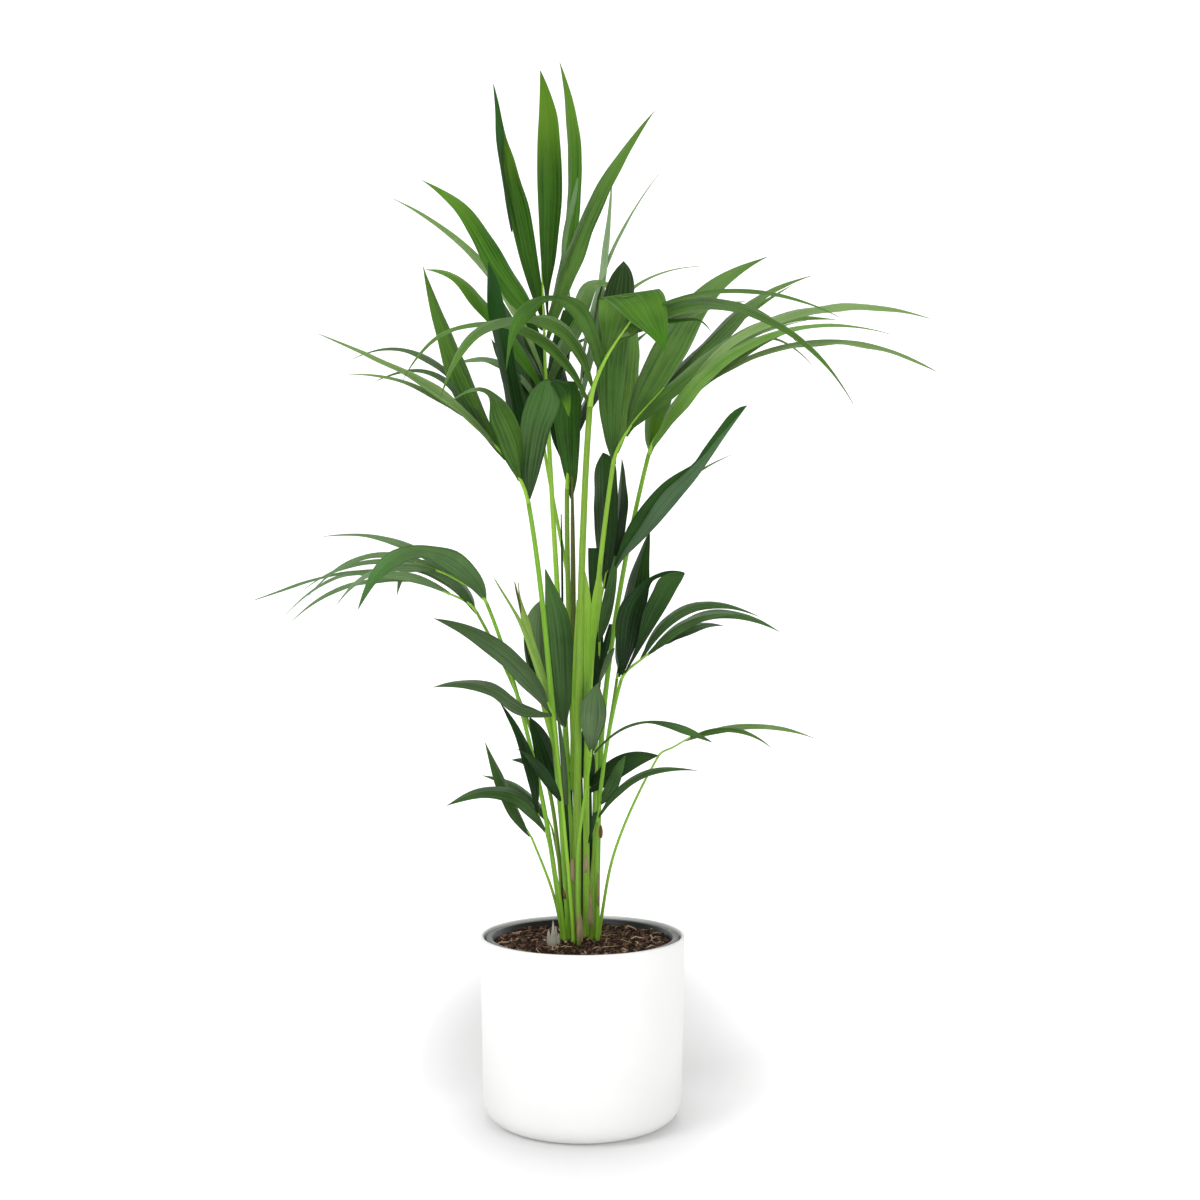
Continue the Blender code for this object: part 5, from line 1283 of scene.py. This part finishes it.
def compost(radius):
    """The bed of compost: a lumpy disc, loose crumbs, chips and fibres."""
    rng = random.Random(SEED)
    bed = Pile()
    edge_r = radius(SOIL_Z) - NURSERY_WALL - 0.0004
    rings, steps = 60, 190

    def clods(x, y):
        return (0.0030 * noise.noise(Vector((x * 62, y * 62, 3.0))) + 0.0026 * noise.noise(Vector((x * 150, y * 150, 7.0)))
                + 0.0012 * noise.noise(Vector((x * 400, y * 400, 1.0))))

    rows = []
    for i in range(1, rings + 1):
        r = edge_r * i / rings
        row = []
        for k in range(steps):
            a = 2 * math.pi * k / steps
            x, y = r * math.cos(a), r * math.sin(a)
            drop = SOIL_CROWNING * (i / rings) ** 2
            bump = clods(x, y)
            if i == rings:
                bump = min(bump, 0.0)
            row.append(Vector((x, y, SOIL_Z - 0.0012 - drop + bump)))
        rows.append(row)
    low_z = PLANTER_FLOOR + 0.004
    rim_low = [Vector((p.x * 0.86, p.y * 0.86, low_z)) for p in rows[-1]]
    rows.append(rim_low)
    start = bed.grid(rows, 0, None, loop=True)
    top = len(bed.points)
    bed.points.append(Vector((0, 0, SOIL_Z - 0.0012)))
    for k in range(steps):
        bed.face([top, start + k, start + (k + 1) % steps][::-1], 0)
    bottom = start + rings * steps
    centre = len(bed.points)
    bed.points.append(Vector((0, 0, low_z)))
    for k in range(steps):
        bed.face([centre, bottom + k, bottom + (k + 1) % steps], 0)
    obj = bed.make("compost_bed", [soil_finish("compost", srgb(24, 16, 12), srgb(84, 60, 46), 260.0)], "soil")
    work = bmesh.new()
    work.from_mesh(obj.data)
    bmesh.ops.recalc_face_normals(work, faces=work.faces)
    work.to_mesh(obj.data)
    work.free()

    crumbs = Pile()
    solid = [(-1, -1, -1), (1, -1, -1), (1, 1, -1), (-1, 1, -1), (-1, -1, 1), (1, -1, 1), (1, 1, 1), (-1, 1, 1)]
    sides = [(0, 3, 2, 1), (4, 5, 6, 7), (0, 1, 5, 4), (1, 2, 6, 5), (2, 3, 7, 6), (3, 0, 4, 7)]
    for n in range(5200):
        r = (edge_r - 0.003) * math.sqrt(rng.random())
        a = rng.uniform(0, 2 * math.pi)
        size = rng.choice([0.0008, 0.0011, 0.0014, 0.0018, 0.0024]) * rng.uniform(0.7, 1.15)
        x, y = r * math.cos(a), r * math.sin(a)
        z = SOIL_Z - 0.0008 - SOIL_CROWNING * (r / edge_r) ** 2 + clods(x, y) + rng.uniform(-0.0004, 0.0016)
        turn = Matrix.Rotation(rng.uniform(0, 6.3), 3, "Z") @ Matrix.Rotation(rng.uniform(-0.9, 0.9), 3, "X")
        stretch = (rng.uniform(0.7, 1.3), rng.uniform(0.7, 1.1), rng.uniform(0.6, 1.0))
        first = len(crumbs.points)
        for corner in solid:
            v = Vector([c * s * size * rng.uniform(0.55, 1.0) for c, s in zip(corner, stretch)])
            crumbs.points.append(Vector((x, y, z)) + turn @ v)
        tone = 0 if rng.random() < 0.60 else (1 if rng.random() < 0.92 else 2)
        for side in sides:
            crumbs.face([first + c for c in side], tone)
    made = crumbs.make("compost_crumbs", [
        soil_finish("crumb_dark", srgb(24, 16, 12), srgb(70, 49, 38), 400.0),
        soil_finish("crumb_brown", srgb(84, 60, 46), srgb(134, 102, 80), 400.0),
        soil_finish("crumb_tan", srgb(138, 112, 86), srgb(190, 168, 138), 400.0)])
    made.data.polygons.foreach_set("use_smooth", [False] * len(made.data.polygons))

    threads = Pile()
    for n in range(190):
        r = (edge_r - 0.006) * math.sqrt(rng.random())
        a = rng.uniform(0, 2 * math.pi)
        length = rng.uniform(0.006, 0.026)
        way = rng.uniform(0, 2 * math.pi)
        line, bend = [], rng.uniform(-2.2, 2.2)
        x, y = r * math.cos(a), r * math.sin(a)
        for i in range(6):
            u = i / 5
            ang = way + bend * u
            z = SOIL_Z + 0.0008 - SOIL_CROWNING * (r / edge_r) ** 2 + clods(x, y) + 0.0022 * math.sin(u * math.pi) * rng.uniform(0.4, 1)
            line.append(Vector((x, y, z)))
            x += math.cos(ang) * length / 5
            y += math.sin(ang) * length / 5
            if math.hypot(x, y) > edge_r - 0.002:
                x, y = x * 0.97, y * 0.97
        thick = rng.choice([0.00022, 0.0003, 0.00045, 0.0008])
        ribbed_tube(threads, line, [thick] * 6, 0 if rng.random() < 0.4 else 1, n * 0.37, 5)
    threads.make("compost_fibres", [
        dry_finish("fibre_tan", srgb(150, 122, 92), srgb(212, 192, 162)),
        dry_finish("fibre_brown", srgb(62, 44, 32), srgb(110, 84, 62))])


# -------------------------------------------------------------------- stage

def studio():
    floor = bpy.data.meshes.new("floor")
    points, faces = [], []
    profile = [(-7.0, 0.0), (-2.0, 0.0), (2.2, 0.0)]
    for i in range(1, 13):
        a = math.radians(90 * i / 12)
        profile.append((2.2 + 2.0 * math.sin(a), 2.0 - 2.0 * math.cos(a)))
    profile.append((4.2, 7.0))
    for y, z in profile:
        points += [(-9.0, y, z - 0.0004), (9.0, y, z - 0.0004)]
    for i in range(len(profile) - 1):
        faces.append((2 * i, 2 * i + 1, 2 * i + 3, 2 * i + 2))
    floor.from_pydata(points, [], faces)
    floor.polygons.foreach_set("use_smooth", [True] * len(faces))
    f = Finish("studio_white_painted_shadow", 0.9, 0.0)
    f.shader.inputs["Base Color"].default_value = (0.80, 0.80, 0.80, 1)
    f.shader.inputs["Emission Color"].default_value = (1, 1, 1, 1)
    # painted shadow: the floor glows more the farther it lies from an oval round and behind the pot, so that near the
    # pot it stays a soft grey shadow
    where = f.node("ShaderNodeTexCoord")
    painted_shadow_oval = f.node("ShaderNodeMapping")
    painted_shadow_oval.inputs["Location"].default_value = (0.0, -0.42, 0.0)
    painted_shadow_oval.inputs["Scale"].default_value = (1 / 0.36, 1 / 1.0, 1.0)
    f.link(where.outputs["Object"], painted_shadow_oval.inputs["Vector"])
    far = f.node("ShaderNodeVectorMath", operation="LENGTH")
    f.link(painted_shadow_oval.outputs["Vector"], far.inputs[0])
    painted_shadow_glow = f.node("ShaderNodeMapRange", interpolation_type="SMOOTHSTEP")
    painted_shadow_glow.inputs["From Min"].default_value = 0.35
    painted_shadow_glow.inputs["From Max"].default_value = 1.15
    painted_shadow_glow.inputs["To Max"].default_value = 0.62
    f.link(far.outputs["Value"], painted_shadow_glow.inputs["Value"])
    f.link(painted_shadow_glow.outputs[0], f.shader.inputs["Emission Strength"])
    floor.materials.append(f.made)
    obj = bpy.data.objects.new("floor", floor)
    bpy.context.scene.collection.objects.link(obj)

    world = bpy.data.worlds.new("studio")
    bpy.context.scene.world = world
    world.use_nodes = True
    world.node_tree.nodes["Background"].inputs["Color"].default_value = (1, 1, 1, 1)
    world.node_tree.nodes["Background"].inputs["Strength"].default_value = 0.34

    def lamp(name, place, target, size, power, spread=180):
        light = bpy.data.lights.new(name, "AREA")
        light.shape = "RECTANGLE"
        light.size, light.size_y = size
        light.energy = power
        light.spread = math.radians(spread)
        obj = bpy.data.objects.new(name, light)
        obj.location = place
        obj.rotation_euler = (Vector(target) - Vector(place)).to_track_quat("-Z", "Y").to_euler()
        bpy.context.scene.collection.objects.link(obj)

    lamp("key", (-2.2, -2.0, 2.4), (0, 0, 0.6), (1.6, 1.6), 41)
    lamp("front", (0.7, -3.4, 1.2), (0, 0, 0.5), (2.6, 2.0), 52)
    lamp("overhead", (0.1, 0.1, 3.4), (0, 0, 0.8), (1.6, 1.6), 42)

    camera = bpy.data.cameras.new("camera")
    camera.sensor_width = 36
    camera.lens = 50.2
    obj = bpy.data.objects.new("camera", camera)
    obj.location = (EYE_SIDE, -EYE_AWAY, EYE_HEIGHT)
    obj.rotation_euler = (math.pi / 2, 0, 0)
    bpy.context.scene.collection.objects.link(obj)
    bpy.context.scene.camera = obj
    bpy.context.scene.view_settings.view_transform = "Standard"


# --------------------------------------------------------------------- main

def main():
    finishes = leaf_materials()
    stalks = [
        stalk_finish("stalk_light", srgb(148, 196, 66), srgb(142, 192, 58), srgb(146, 192, 62), srgb(94, 130, 34)),
        stalk_finish("stalk_green", srgb(126, 178, 50), srgb(120, 174, 46), srgb(134, 182, 54), srgb(74, 110, 28)),
        stalk_finish("stalk_olive", srgb(112, 146, 44), srgb(110, 156, 46), srgb(128, 170, 54), srgb(90, 86, 34)),
    ]
    for number, (name, sizes) in enumerate(FRONDS.items()):
        grow(name, sizes, finishes, stalks, number)
    radius = pots()
    compost(radius)
    studio()


main()
